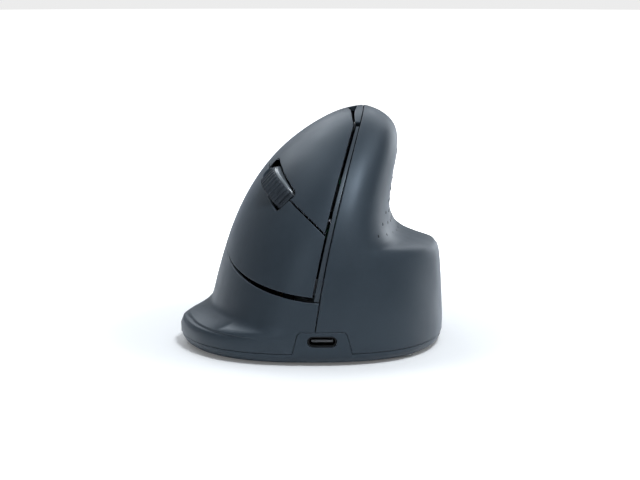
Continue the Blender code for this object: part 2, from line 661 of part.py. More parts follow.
def plate(name, side, boundary, spacing, wall, finish, pivot=CENTRE):
    """A casing part with any outline: the surface inside a ring of (psi, z) corners, given a wall."""
    around = 35.0
    ring = np.array(boundary) * (around, 1)
    after = np.roll(ring, -1, 0)
    low, high = ring.min(0), ring.max(0)
    inside = []
    for u in np.arange(low[0] + spacing / 2, high[0], spacing):
        for v in np.arange(low[1] + spacing / 2, high[1], spacing):
            crossed = (ring[:, 1] > v) != (after[:, 1] > v)
            slope = (after[:, 0] - ring[:, 0]) / np.where(crossed, after[:, 1] - ring[:, 1], 1)
            hits = crossed & (u < ring[:, 0] + (v - ring[:, 1]) * slope)
            clear = np.hypot(ring[:, 0] - u, ring[:, 1] - v).min() > spacing * 0.6
            if hits.sum() % 2 and clear:
                inside.append((u, v))
    corners = [Vector(p) for p in ring.tolist() + inside]
    edges = [(k, (k + 1) % len(ring)) for k in range(len(ring))]
    flat, _, triangles = delaunay_2d_cdt(corners, edges, [], 1, 1e-5)[:3]
    psi, z = (np.array([p[k] for p in flat]) for k in range(2))
    psi = psi / around
    normal = outward(side, psi, z)
    outer, inner = skin(side, psi, z), skin(side, psi, z) - wall * normal
    count = len(flat)
    faces = [list(t) for t in triangles] + [[v + count for v in reversed(t)] for t in triangles]
    sides = {(t[k], t[(k + 1) % 3]) for t in triangles for k in range(3)}
    faces += [[b, a, a + count, b + count] for a, b in sides if (b, a) not in sides]
    return solid(name, np.concatenate([outer, inner]), faces, finish, pivot=pivot)


def finger_key(name, half):
    """A finger button: its plate, and the post under it that presses the switch."""
    made = plate(name, FINGER, key_boundary(half), 5.0, KEY_WALL, "casing")
    t, a = SWITCH_AT[0], half * SWITCH_AT[1]
    bottom = BOARD_TOP + SWITCH_SIZE[2] + PLUNGER_OUT + SEAM
    top = skin_depth(t, a) - KEY_WALL + 0.4
    post = box("post", (t - 1.5, a - 1.5, bottom), (t + 1.5, a + 1.5, top), "casing", FRAME)
    return set_origin(join(made, post), HINGE_POINT)


def set_origin(made, point):
    """Moves the object's origin to a point given in millimetres, leaving its shape in place."""
    shift = (Vector(point) - Vector(CENTRE)) * MM - made.location
    made.data.transform(Matrix.Translation(-shift))
    made.location += shift
    return made


HINGE_Z = float(slit_z(HINGE_PSI))
HINGE_POINT = tuple(skin(FINGER, HINGE_PSI, HINGE_Z) - 2.0 * outward(FINGER, HINGE_PSI, HINGE_Z))


def trim_strip():
    heights = np.linspace(KEY_BOTTOM + SEAM, KEY_TOP - 0.4, 14)
    outer_edge = psi_at(FINGER, key_edge(heights) - TRIM_GAP - SEAM / 2, heights)
    psi = np.stack([0 * heights, outer_edge / 2, outer_edge], -1)
    z = np.repeat(heights[:, None], 3, 1)
    return shell("trim_strip", FINGER, psi, z, TRIM_DEPTH + 1.6, "trim", lift=-TRIM_DEPTH)


def thumb_key(name, start, end, board_y):
    """A thumb button: a curved plate, a little proud of the casing, with a post to its switch."""
    gap = 0.3
    bottom, top = THUMB_WINDOW
    psi, z = np.meshgrid(np.linspace(start, end, 5), np.linspace(bottom + gap, top - gap, 4))
    made = shell(name, THUMB, psi, z, 1.6, "casing", lift=0.5)
    zc = (THUMB_BOARD[0][2] + THUMB_BOARD[1][2]) / 2
    inner = skin(THUMB, np.linspace(start, end, 40), zc)
    x_in = float(np.interp(board_y, inner[:, 1], inner[:, 0])) - 0.8
    post = box("post", (THUMB_TIP + SEAM, board_y - 1.2, zc - 1.2), (x_in, board_y + 1.2, zc + 1.2), "casing")
    join(made, post)
    return set_origin(made, (x_in, board_y, zc))


def base_ring(z, inset=0.0, count=28):
    """A level of the casing as a closed ring of (x, y), drawn in by inset."""
    psi = np.linspace(0, math.pi, count + 1)
    rings = []
    for side, order in ((THUMB, psi), (FINGER, psi[::-1])):
        points = skin(side, order, z)
        normal = outward(side, order, z)
        normal[:, 2] = 0
        normal /= np.linalg.norm(normal, axis=1, keepdims=True)
        points = points - inset * normal - np.array([side * SEAM / 2, 0, 0])
        rings.append(points[:-1])
    return np.concatenate(rings)[:, :2]


def base_shell():
    levels = [(FOOT, 0), (0.95, 0), (1.6, 0), (2.6, 0), (BASE_TOP, 0), (BASE_TOP, WALL), (FLOOR_TOP, WALL)]
    rings = [base_ring(z, inset) for z, inset in levels]
    count = len(rings[0])
    points = [(x, y, z) for ring, (z, _) in zip(rings, levels) for x, y in ring]
    faces = []
    for i in range(len(levels) - 1):
        for k in range(count):
            a, b = i * count + k, i * count + (k + 1) % count
            faces.append([a, b, b + count, a + count])
    faces += [list(range(count - 1, -1, -1)), list(range((len(levels) - 1) * count, len(levels) * count))]
    made = solid("base_shell", points, faces, "base")

    join(made, port_tab())
    for x, y in CASE_SCREWS:
        join(made, prism("boss", circle(4.0, 24, (x, y)), 1.6, BOSS_TOP, "base"))
    cut(made, prism("port", rounded(9.4, 3.6, 1.79, (PORT[0], PORT[2])), -60, -50, "base", TURN_TO_FRONT))
    for x, y in CASE_SCREWS:
        cut(made, prism("shaft", circle(1.7, 16, (x, y)), 0, 6, "base"))
        cut(made, prism("head", circle(3.2, 20, (x, y)), 0, 2.8, "base"))
    for foot in FEET:
        cut(made, prism("recess", foot_ring(foot, 0.3), 0, 1.3, "base"))
    cut(made, prism("sensor", rounded(9.0, 7.0, 2.0, SENSOR), 0, 4, "base"))
    cut(made, prism("sensor_step", rounded(22.0, 16.0, 3.0, SENSOR), 0, 1.1, "base"))
    cut(made, prism("power", rounded(4.2, 7.2, 1.2, (POWER[0], POWER[1] + 1.0)), 0, 4, "base"))
    cut(made, prism("pairing", circle(2.3, 20, PAIRING), 0, 4, "base"))
    return made


def port_tab():
    """The part of the base that rises at the prow, round the port."""
    heights = np.array([2.2, 4.0, 6.2, 8.6, TAB_TOP])
    outer = np.zeros((len(heights), 9, 3))
    for i, z in enumerate(heights):
        spread = (TAB_TOP - z) * TAB_SLOPE
        for j, x in enumerate(np.linspace(TAB_LEFT - spread, TAB_RIGHT + spread, 9)):
            side = THUMB if x > prow_x(z) else FINGER
            distance = abs(x - prow_x(z))
            point = skin(side, psi_at(side, distance, z), z)
            outer[i, j] = (x, point[1], z)
    inner = outer + np.array([0, WALL, 0])
    inner[:, 0, 0] += 0.5
    inner[:, -1, 0] -= 0.5
    faces = grid_faces(outer, inner, np.ones((len(heights) - 1, 8), bool))
    return solid("tab", np.concatenate([outer.reshape(-1, 3), inner.reshape(-1, 3)]), faces, "base")


def foot_ring(foot, grow=0.0):
    """A glide foot's outline: a flat oval, turned to follow the base's edge."""
    x, y, turn = foot
    ring = rounded(19.0 + 2 * grow, 7.0 + 2 * grow, 3.4 + grow, steps=5)
    c, s = math.cos(turn), math.sin(turn)
    return [(x + a * c + b * s, y - a * s + b * c) for a, b in ring]


# ---- Scroll wheel and its carrier ----------------------------------------------------------------
def wheel():
    half = WHEEL_W / 2
    hub_edge = [(AXLE_R + 0.1, -2.6), (4.0, -half), (WHEEL_R - 1.6, -half), (WHEEL_R - 0.7, -half + 0.6)]
    seat = [(WHEEL_R - 0.7, -2.9), (WHEEL_R - 1.7, -2.9)]
    right = hub_edge + seat
    left = [(r, -h) for r, h in reversed(right)]
    hub = turned("wheel_hub", right + left, "hub", AXLE_FRAME, 36)
    spokes = 12
    for k in range(spokes):
        a = 2 * math.pi * k / spokes
        at = (6.6 * math.cos(a), 6.6 * math.sin(a))
        ring = [
            (at[0] + u * math.cos(a) - v * math.sin(a), at[1] + u * math.sin(a) + v * math.cos(a))
            for u, v in ((-1.5, -0.8), (1.5, -1.0), (1.5, 1.0), (-1.5, 0.8))
        ]
        cut(hub, prism("slot", ring, -5, 5, "hub", AXLE_FRAME))
    centre = in_finger(0, 0, -WHEEL_DEPTH)
    set_origin(hub, centre)

    ribs = 40
    seat, shoulder = WHEEL_R - 1.6, WHEEL_R - 0.2
    rows = [(seat, -2.8), (shoulder, -2.8), (WHEEL_R, -2.0), (WHEEL_R, 2.0), (shoulder, 2.8), (seat, 2.8)]
    count, depth = len(rows), 0.45
    points, faces = [], []
    for k in range(2 * ribs):
        a = math.pi * k / ribs
        for r, h in rows:
            if k % 2 and r > seat:
                r -= depth
            points.append((r * math.cos(a), r * math.sin(a), h))
    for k in range(2 * ribs):
        after = (k + 1) % (2 * ribs)
        for i in range(count):
            j = (i + 1) % count
            faces.append([k * count + i, k * count + j, after * count + j, after * count + i])
    solid("wheel_tyre", points, faces, "tyre", AXLE_FRAME, centre)

    prism("wheel_axle", circle(AXLE_R, 24), -7.6, 7.6, "steel", AXLE_FRAME, centre)


def carrier():
    """The cradle that holds the wheel's axle and tips when the wheel is pressed."""
    centre = -WHEEL_DEPTH
    pt, pn = PIVOT_AT
    arms = []
    for s in (-1, 1):
        low, high = sorted((s * 4.8, s * 6.3))
        outline_tn = [(pt - 2.2, pn - 2.0), (pt - 2.2, pn + 1.6), (-5, centre + 2.8), (4, centre + 2.8)]
        outline_tn += [(CARRIER_BAR + 2.0, -9.4), (CARRIER_BAR + 2.0, -11.3), (3, centre - 2.6), (-6, pn - 2.4)]
        arms.append(prism("arm", outline_tn, low, high, "plastic", FRAME @ TURN_TO_FRONT))
    made = arms[0]
    made.name = "wheel_carrier"
    bars = [
        box("bar", (CARRIER_BAR - 1.2, -5.5, -11.3), (CARRIER_BAR + 1.2, 5.5, -9.6), "plastic", FRAME),
        box("bar", (pt - 2.2, -5.5, pn - 1.6), (pt - 0.2, 5.5, pn + 1.2), "plastic", FRAME),
    ]
    pivot_frame = FRAME @ Matrix.Translation((pt, 0, pn)) @ Matrix.Rotation(-math.pi / 2, 4, "X")
    stubs = []
    for low, high in ((-8.4, -5.5), (5.5, 8.4)):
        stubs.append(prism("stub", circle(1.2, 20), low, high, "plastic", pivot_frame))
    join(made, arms[1], *bars, *stubs)
    cut(made, prism("bore", circle(AXLE_R + 0.1, 24), -9, 9, "plastic", AXLE_FRAME))
    return set_origin(made, in_finger(pt, 0, pn))


def bracket():
    """Two ears on the button board that carry the carrier's pivot."""
    pt, pn = PIVOT_AT
    low, high = BOARD_TOP + SEAM, pn + 2.4
    ears = []
    for a0, a1 in ((-8.8, -6.8), (6.8, 8.8)):
        ears.append(box("ear", (pt - 2.6, a0, low), (pt + 2.6, a1, high), "plastic", FRAME))
    made = ears[0]
    made.name = "carrier_bracket"
    tie = box("tie", (pt - 2.2, -8.0, BOARD_TOP + 0.5), (pt + 2.2, 8.0, BOARD_TOP + 1.6), "plastic", FRAME)
    join(made, ears[1], tie)
    pivot_frame = FRAME @ Matrix.Translation((pt, 0, pn)) @ Matrix.Rotation(-math.pi / 2, 4, "X")
    return cut(made, prism("bore", circle(1.3, 20), -10, 10, "plastic", pivot_frame))


def carrier_spring():
    """A small coil spring under the carrier's front bar, standing on the board."""
    wire, radius, turns, steps = 0.25, 1.5, 5, 10
    low, high = BOARD_TOP + SEAM + wire, -11.3 - SEAM - wire
    path = []
    for k in range(turns * steps + 1):
        a = 2 * math.pi * k / steps
        t, beside = CARRIER_BAR + radius * math.cos(a), SPRING_A + radius * math.sin(a)
        path.append(in_finger(t, beside, low + (high - low) * k / (turns * steps)))
    return cord("carrier_spring", np.array(path), OUT, wire, "steel", 5)


# ---- Switches -----------------------------------------------------------------------------------
def main_switch(name, a):
    """A micro switch on the button board, and its plunger."""
    t = SWITCH_AT[0]
    length, width, height = SWITCH_SIZE
    lid = BOARD_TOP + height
    low = (t - length / 2, a - width / 2, BOARD_TOP + 0.05)
    body = box(f"{name}_switch", low, (t + length / 2, a + width / 2, lid), "plastic", FRAME)
    cut(body, box("well", (t - 1.6, a - 0.8, lid - 3), (t + 1.6, a + 0.8, lid + 1), "plastic", FRAME))
    top = lid + PLUNGER_OUT
    low, high = (t - 1.4, a - 0.6, top - 2.4), (t + 1.4, a + 0.6, top)
    box(f"{name}_plunger", low, high, "plunger", FRAME, in_finger(t, a, top))


def tact_switch(name, frame, height, out):
    """A square push switch standing on a board, with a round plunger."""
    body = box(f"{name}_switch", (-3, -3, 0.05), (3, 3, height), "chip", frame)
    cut(body, prism("well", circle(1.75, 16), height - 2.2, height + 1, "chip", frame))
    top = height + out
    tip = frame @ Vector((0, 0, top))
    prism(f"{name}_plunger", circle(1.6, 16), top - 1.8, top, "plunger", frame, tip)


# ---- Boards, frame and the rest of the inside ----------------------------------------------------
def button_board():
    low, high = (-21.0, -16.0, BOARD_TOP - BOARD_T), (18.5, 14.0, BOARD_TOP)
    made = box("button_board", low, high, "board", FRAME)
    return cut(made, prism("wheel", rounded(24.0, 9.6, 2.0), BOARD_TOP - 3, BOARD_TOP + 2, "board", FRAME))


def inner_frame():
    """The sloping bed under the button board, on three legs."""
    top = BOARD_TOP - BOARD_T - SEAM
    made = box("inner_frame", (-20.5, -15.5, top - 2.0), (18.0, 13.5, top), "plastic", FRAME)
    level = np.array(in_finger(0, 0, top - 1.0))

    def height(x, y):
        return level[2] - ((x - level[0]) * OUT[0] + (y - level[1]) * OUT[1]) / OUT[2]

    for x0, x1, y0, y1 in LEGS:
        ring = [(x0, y0), (x1, y0), (x1, y1), (x0, y1)]
        points = [(x, y, FLOOR_TOP + SEAM) for x, y in ring] + [(x, y, height(x, y)) for x, y in ring]
        join(made, solid("leg", points, box_mesh((0, 0, 0), (1, 1, 1))[1], "plastic"))
    return cut(made, prism("wheel", rounded(26.0, 10.6, 2.0), top - 5, top + 2, "plastic", FRAME))


def main_board():
    made = prism("main_board", MAIN_BOARD, *MAIN_BOARD_Z, "board")
    grow = 0.6
    for x0, x1, y0, y1 in LEGS:
        cut(made, box("notch", (x0 - grow, y0 - grow, 4), (x1 + grow, y1 + grow, 8), "board"))
    x, y = SENSOR
    return cut(made, box("sensor", (x - 4.2, y - 4.2, 4), (x + 4.2, y + 4.2, 8), "board"))


def sensor():
    x, y = SENSOR
    box("motion_sensor", (x - 5.0, y - 4.0 - 1.2, 6.5), (x + 5.0, y + 5.2, 8.6), "chip")
    lens = prism("sensor_lens", rounded(8.0, 6.0, 1.6, SENSOR), 1.3, 3.0, "lens")
    join(lens, prism("plate", rounded(14.0, 11.0, 1.6, SENSOR), FLOOR_TOP + 0.2, 4.4, "lens"))


def port():
    x, y, z = PORT
    outer = rounded(*PORT_OUTER, PORT_OUTER[1] / 2 - 0.01, (x, z), 5)
    inner = rounded(*PORT_INNER, PORT_INNER[1] / 2 - 0.01, (x, z), 5)
    sleeve = prism("port_shell", outer, y, y + PORT_LENGTH, "steel", TURN_TO_FRONT)
    cut(sleeve, prism("mouth", inner, y - 1, y + PORT_LENGTH - 0.8, "steel", TURN_TO_FRONT))
    box("port_tongue", (x - 3.35, y + 1.2, z - 0.35), (x + 3.35, y + PORT_LENGTH - 1.1, z + 0.35), "chip")


def power_and_pairing():
    x, y = POWER
    box("power_switch", (x - 2.0, y - 4.0, 3.5), (x + 2.0, y + 6.0, 4.7), "chip")
    knob = prism("power_slider", rounded(3.6, 4.4, 0.9, POWER), 1.0, 3.1, "plastic")
    join(knob, prism("flange", rounded(7.0, 6.8, 0.9, POWER), FLOOR_TOP + 0.2, 3.3, "plastic"))
    set_origin(knob, (x, y, 2.0))
    x, y = PAIRING
    button = prism("pairing_button", circle(2.0, 20, PAIRING), 1.0, 3.2, "plastic")
    join(button, prism("flange", circle(2.9, 20, PAIRING), FLOOR_TOP + 0.2, 3.2, "plastic"))
    set_origin(button, (x, y, 2.0))
    box("pairing_switch", (x - 2.6, y - 2.6, 3.9), (x + 2.6, y + 2.6, 4.8), "chip")


def power_supply():
    (x0, y0, z0), (x1, y1, z1) = BATTERY
    prism("battery", rounded(x1 - x0, y1 - y0, 2.0, ((x0 + x1) / 2, (y0 + y1) / 2)), z0, z1, "cell")
    box("battery_pad", (x0 + 3, y0 + 4, FLOOR_TOP + 0.2), (x1 - 3, y1 - 4, z0 - 0.2), "foam")
    box("battery_plug", (8.0, -1.0, 6.4), (14.0, 3.4, 9.2), "plunger")
    for colour, x in (("red", 9.9), ("black", 12.1)):
        z = 7.8
        route = [(x, 3.8, z), (x, 6.0, z), (x + (x - 11) * 0.6, 8.5, z + 0.6), (x, 11.0, z), (x, 13.6, z - 0.4)]
        path = bspline(route, steps=3)
        cord(f"battery_lead_{colour}", path, (0.3, 0.2, 1.0), 0.55, f"{colour}_wire", 6)


def cables():
    x, y, z = in_finger(-21.8, -6.0, BOARD_TOP - 1.0)
    route = [(x, y, z), (x, y + 3.0, z), (x, y + 7.0, z - 4), (x, 1.0, 32.0)]
    route += [(x, 0.5, 18.0), (x, 0.2, 11.0), (x, 1.2, 6.9)]
    strip("button_ribbon", route, (2.4, 0, 0), 0.3, "ribbon")
    x = THUMB_BOARD[0][0] + 0.6
    y = -4.0
    route = [(x, y, THUMB_BOARD[0][2] - 0.4), (x, y, 48.0), (x + 0.6, y, 36.0)]
    route += [(x + 0.6, y, 22.0), (x, y, 10.0), (x, y, 6.7)]
    strip("thumb_ribbon", route, (0, 2.5, 0), 0.3, "ribbon")


def thumb_board():
    """The board behind the thumb buttons, with a switch for each."""
    low, high = THUMB_BOARD
    box("thumb_board", low, high, "board")
    zc = (low[2] + high[2]) / 2
    for name, y in (("forward", THUMB_SWITCH_Y[0]), ("back", THUMB_SWITCH_Y[1])):
        turn = Matrix.Translation((high[0], y, zc)) @ Matrix.Rotation(math.pi / 2, 4, "Y")
        tact_switch(name, turn, 3.5, THUMB_TIP - high[0] - 3.5)


def screws_and_feet():
    for k, (x, y) in enumerate(CASE_SCREWS, 1):
        shaft = prism(f"case_screw_{k}", circle(1.15, 16, (x, y)), 1.9, 12.0, "steel")
        head = prism("head", circle(2.7, 20, (x, y)), 1.0, 2.5, "steel")
        cut(join(shaft, head), box("cross", (x - 1.5, y - 0.3, 0.9), (x + 1.5, y + 0.3, 1.6), "steel"),
            box("cross", (x - 0.3, y - 1.5, 0.9), (x + 0.3, y + 1.5, 1.6), "steel"))
    for k, foot in enumerate(FEET, 1):
        prism(f"glide_foot_{k}", foot_ring(foot), 0.0, 1.1, "glide")


def clear_scene():
    for old in list(bpy.data.objects):
        bpy.data.objects.remove(old)


def main():
    clear_scene()
    base_shell()
    finger_shell()
    thumb_shell()
    trim_strip()
    finger_key("index_button", 1)
    finger_key("middle_button", -1)
    start, end = THUMB_WINDOW_PSI
    gap = 0.013
    thumb_key("forward_button", start + gap, THUMB_KEY_SPLIT - gap / 2, THUMB_SWITCH_Y[0])
    thumb_key("back_button", THUMB_KEY_SPLIT + gap / 2, end - gap, THUMB_SWITCH_Y[1])
    wheel()
    carrier()
    bracket()
    carrier_spring()
    main_switch("index", SWITCH_AT[1])
    main_switch("middle", -SWITCH_AT[1])
    tact_switch("wheel", FRAME @ Matrix.Translation((CARRIER_BAR, -1.6, BOARD_TOP)), 3.5, 0.85)
    button_board()
    inner_frame()
    main_board()
    sensor()
    port()
    power_and_pairing()
    power_supply()
    cables()
    thumb_board()
    screws_and_feet()


main()
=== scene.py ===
"""How the vertical mouse looks: fine casing panels, wheel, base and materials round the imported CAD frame."""
import json
from math import ceil, cos, pi, radians, sin, sqrt

import bmesh
import bpy
import numpy as np
from mathutils import Matrix, Vector
from mathutils.geometry import delaunay_2d_cdt

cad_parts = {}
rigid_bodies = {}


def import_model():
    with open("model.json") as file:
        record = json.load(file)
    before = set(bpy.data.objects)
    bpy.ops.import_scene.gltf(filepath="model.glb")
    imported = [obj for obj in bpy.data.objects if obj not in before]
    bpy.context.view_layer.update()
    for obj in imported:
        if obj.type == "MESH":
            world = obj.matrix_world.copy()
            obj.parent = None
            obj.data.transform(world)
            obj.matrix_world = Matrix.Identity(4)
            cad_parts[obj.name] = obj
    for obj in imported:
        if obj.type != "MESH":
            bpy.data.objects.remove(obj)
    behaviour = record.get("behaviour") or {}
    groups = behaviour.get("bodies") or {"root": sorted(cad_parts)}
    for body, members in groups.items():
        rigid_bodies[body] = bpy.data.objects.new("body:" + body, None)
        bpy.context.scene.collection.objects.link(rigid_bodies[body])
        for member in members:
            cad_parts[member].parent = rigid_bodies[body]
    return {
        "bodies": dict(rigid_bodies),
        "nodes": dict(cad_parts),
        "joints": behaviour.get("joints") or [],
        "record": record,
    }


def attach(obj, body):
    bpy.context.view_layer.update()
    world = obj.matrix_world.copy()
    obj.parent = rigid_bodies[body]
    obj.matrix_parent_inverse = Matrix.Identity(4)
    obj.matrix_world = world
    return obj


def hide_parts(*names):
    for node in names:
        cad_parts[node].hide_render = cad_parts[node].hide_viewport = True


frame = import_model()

MM = 0.001
TOP = 78.0  # height of the ridge above the desk
FOOT = 0.7  # how far the glide feet lift the base off the desk
BASE_TOP = 3.8  # upper edge of the base tray
SEAM = 0.3  # gap between two casing parts
WALL = 2.0  # wall of the base tray
FLOOR_TOP = 2.6  # inside face of the base
MIDDLE_Y = 2.0  # widest place of the body, low down
RIDGE_Y = -5.0  # highest place of the ridge
SPAN_STEPS = 100  # points on each span of a spline
CENTRE = (0.64, 2.58, 0.0)  # middle of the footprint, which becomes the origin

FINGER, THUMB = -1, 1  # the two sides of the prow line
UPPER, LOWER = 1, -1  # the finger buttons on either side of the gap between them

# Outlines of the casing, as control points of cubic B-splines. The last point is on the ridge.
FINGER_SLOPE = [  # (x, z) of the long slope that both outlines of the finger side end in
    (-32.4, 17.0), (-30.1, 26.0), (-26.2, 38.5), (-20.2, 51.0), (-11.6, 62.5), (-1.4, 70.8), (8.0, 76.0),
    (13.4, 77.4), (17.5, 78.3),
]
FINGER_OUTLINE = [  # the little-finger ledge, then the slope
    (-41.6, 0.7), (-43.4, 1.4), (-44.5, 4.6), (-44.3, 9.5), (-38.6, 10.5), (-33.2, 11.7),
] + FINGER_SLOPE
FINGER_BACK_OUTLINE = [  # the same without the ledge, towards the palm
    (-33.0, 0.7), (-34.6, 1.4), (-35.4, 4.6), (-34.8, 8.2), (-34.2, 9.6), (-33.4, 12.4),
] + FINGER_SLOPE
THUMB_FOOT = [(42.0, 0.7), (43.8, 1.4), (44.4, 4.6)]
THUMB_RIDGE = [(27.3, 57.0), (29.0, 65.5), (28.4, 72.0), (23.6, 76.0), (20.4, 77.2), (17.5, 78.3)]
THUMB_OUTLINE = THUMB_FOOT + [  # upright wall, thumb shelf, scoop, overhanging ridge
    (44.1, 12.0), (43.6, 22.0), (43.1, 29.0), (42.2, 34.0), (36.0, 35.1), (28.4, 36.4), (25.9, 41.5),
    (26.0, 48.0),
] + THUMB_RIDGE
THUMB_END_OUTLINE = THUMB_FOOT + [  # the soft slope that the shelf runs out into
    (43.4, 13.0), (39.4, 22.5), (32.8, 31.0), (27.6, 39.0), (26.1, 48.0),
] + THUMB_RIDGE
FRONT_OUTLINE = [  # (y, z) of the prow
    (-54.0, 0.7), (-56.2, 1.4), (-57.0, 4.6), (-57.0, 12.0), (-56.3, 22.0), (-54.3, 33.0), (-50.8, 43.0),
    (-45.5, 53.0), (-38.0, 62.5), (-28.5, 70.6), (-18.5, 76.0), (-11.5, 77.4), (RIDGE_Y, 78.3),
]
BACK_OUTLINE = [  # (y, z) of the palm end
    (59.0, 0.7), (61.2, 1.4), (62.3, 4.6), (62.0, 12.0), (60.0, 22.0), (56.0, 33.0), (50.0, 43.0),
    (41.5, 53.0), (30.5, 62.5), (17.5, 70.6), (7.0, 76.0), (1.0, 77.4), (RIDGE_Y, 78.3),
]
SHELF_FROM = (20, 65)  # degrees round the body over which the thumb shelf rises in front
SHELF_TO = (82, 114)  # and over which it runs out again
LEDGE_TO = (70, 107)  # degrees over which the little-finger ledge runs out
# (exponent, z) of the superellipse that each level follows; 2 is an ellipse.
FINGER_FRONT_ROUND = [(2.5, 0.0), (2.5, 8.0), (2.25, 18.0), (2.1, 40.0), (2.05, 60.0), (2.0, TOP + 1)]
THUMB_FRONT_ROUND = [(2.5, 0.0), (2.5, 15.0), (2.6, 30.0), (2.8, 48.0), (2.6, 62.0), (2.2, TOP + 1)]
BACK_ROUND = [(2.4, 0.0), (2.4, 15.0), (2.3, 40.0), (2.2, 60.0), (2.1, TOP + 1)]

# ---- Seams and openings of the casing ----
TAB_TOP = 10.8  # the base rises to here round the port
TAB_LEFT, TAB_RIGHT = -4.2, 11.2  # x of the tab's sides at its top
TAB_SLOPE = 0.25  # widening of each side per millimetre down
KEY_BOTTOM = 20.1  # top edge of the finger casing at the prow
KEY_CLIMB = 8.7  # how far that edge climbs on the way to KEY_CLIMB_PSI
KEY_CLIMB_PSI, KEY_GAP_PSI = radians(65), radians(68)  # from the second on the gap is narrowest
KEY_GAP_FRONT, KEY_GAP_BACK = 1.6, 0.35
KEY_TOP = 73.3  # where the upper button's top edge meets the trim strip
KEY_TOP_RISE, KEY_TOP_FROM, KEY_TOP_BEND = 3.9, radians(8), radians(13)  # its rise past the strip
TOP_GAP = 0.6  # height of the gap over the upper button
KEY_EDGE_LOW, KEY_EDGE_HIGH = 2.6, 1.8  # distance from the prow line to the buttons' front edges
HINGE_PSI = radians(100)  # where the buttons end, round the body
HINGE_GAP = 0.5  # gap between those ends and the casing
SLIT = 0.4  # gap between the two finger buttons
SLIT_START, SLIT_RISE, SLIT_BEND = 39.0, 26.0, radians(56)  # how that gap climbs round the body
THUMB_WINDOW = (57.2, 64.4)  # z of the thumb buttons' window
THUMB_WINDOW_PSI = (radians(82), radians(132))
THUMB_KEY_SPLIT = radians(107)

# ---- Scroll wheel ----
WHEEL_PSI = radians(51)
WHEEL_TURN = radians(-4.6)  # the wheel's turn from the line of the gap between the buttons
WHEEL_R, WHEEL_W = 13.0, 7.4  # outside of the tyre, width of the hub
WHEEL_DEPTH = 9.8  # axle below the surface
SLOT_FRONT, SLOT_BACK = 12.2, 14.8  # the slot's ends, from the wheel's centre
SLOT_HALF_WIDTH, SLOT_CORNER = 4.3, 1.6
AXLE_R = 1.25
TYRE_FAR, TYRE_NEAR = -3.4, 2.8  # the tyre's two flanks along the axle
SPOKES, SPOKE_R = 12, 6.6  # holes in the hub, and the radius they lie on
RIBS, RIB_STEPS, RIB_DEPTH = 50, 10, 0.5

# ---- Port ----
PORT = (3.5, -56.0, 7.9)  # centre of the receptacle's mouth
PORT_HOLE = (9.4, 3.6, 1.79)  # width, height and corner radius of the hole round it
TURN_TO_FRONT = Matrix(((1, 0, 0, 0), (0, 0, 1, 0), (0, 1, 0, 0), (0, 0, 0, 1)))  # prisms along y

# ---- Underside: places are (x, y) ----
CASE_SCREWS = [(-27.0, -26.0), (36.5, -16.0), (-22.5, 31.0), (32.0, 31.0)]
BOSS_TOP, BOSS_BOTTOM, BOSS_R = 4.6, 1.6, 4.0
SHAFT_R, HEAD_R, HEAD_DEPTH = 1.7, 3.2, 2.8
FEET = [(-22.0, -40.0, 0.5), (24.0, -41.0, -0.5), (-16.0, 46.0, -0.5), (23.0, 46.0, 0.5)]  # x, y, turn
FOOT_SIZE, FOOT_GAP, FOOT_RECESS = (19.0, 7.0, 3.4), 0.3, 1.3  # the size is length, width, corner radius
SENSOR, SENSOR_HOLE, SENSOR_STEP = (2.0, -14.0), (9.0, 7.0, 2.0), (22.0, 16.0, 3.0)
SENSOR_STEP_DEPTH = 1.1
POWER, POWER_HOLE = (15.0, -29.0), (4.2, 7.2, 1.2)
PAIRING, PAIRING_R = (15.0, -14.0), 2.3
THROUGH = 4  # a tool this high goes through the base's floor

# ---- Detail that only the looks need ----
AROUND = 35.0  # millimetres per radian in the flat chart of the surface
DOME_FROM, DOME_LENGTH = 60.0, 36.0  # above this the chart follows the dome
EDGE_STEP = 0.9  # longest step along a panel's outline
EDGE_ANGLES = [radians(a) for a in (67.5, 45.0, 22.5, 0.0)]
LOW_SEAM, LOW_EDGE = 12.0, 0.12  # below this height panels have this smaller edge
TAB_CORNER, TAB_EDGE = 1.2, 0.3
TAB_PROUD = 0.03  # how far the tab lies over the base's own surface
FINE_SEAM = 0.12  # what shows of the seam round the base
STRIP_DEPTH = (0.35, 1.1)  # how deep the trim strip lies, at its top and at its foot
STRIP_GAP = 0.68  # gap between trim strip and buttons
THUMB_GAP = (0.6, 0.45)  # round the thumb buttons: at their ends, above and below
THUMB_LIFT = 0.25  # how far they stand proud
DOT_SIZE = (0.3, 0.5)
DOT_ROWS = [(39.9, 39.5), (47.6, 42.5), (54.5, 45.5), (61.1, 48.6), (64.6, 51.9), (66.5, 55.1)]  # degrees, z
DOT_STEP, DOTS_PER_ROW, DOT_SIDES = (10.5, -0.6), 6, 14
LIP_HEIGHT = [(14, 30, 45, 63, 90), (8.0, 8.5, 9.1, 9.7, 9.7)]  # degrees, z
LIP_DEPTH = 0.3  # the crease under the rim of the little-finger ledge
RIDGE_FLAT = 75.0  # above this every outward normal points up

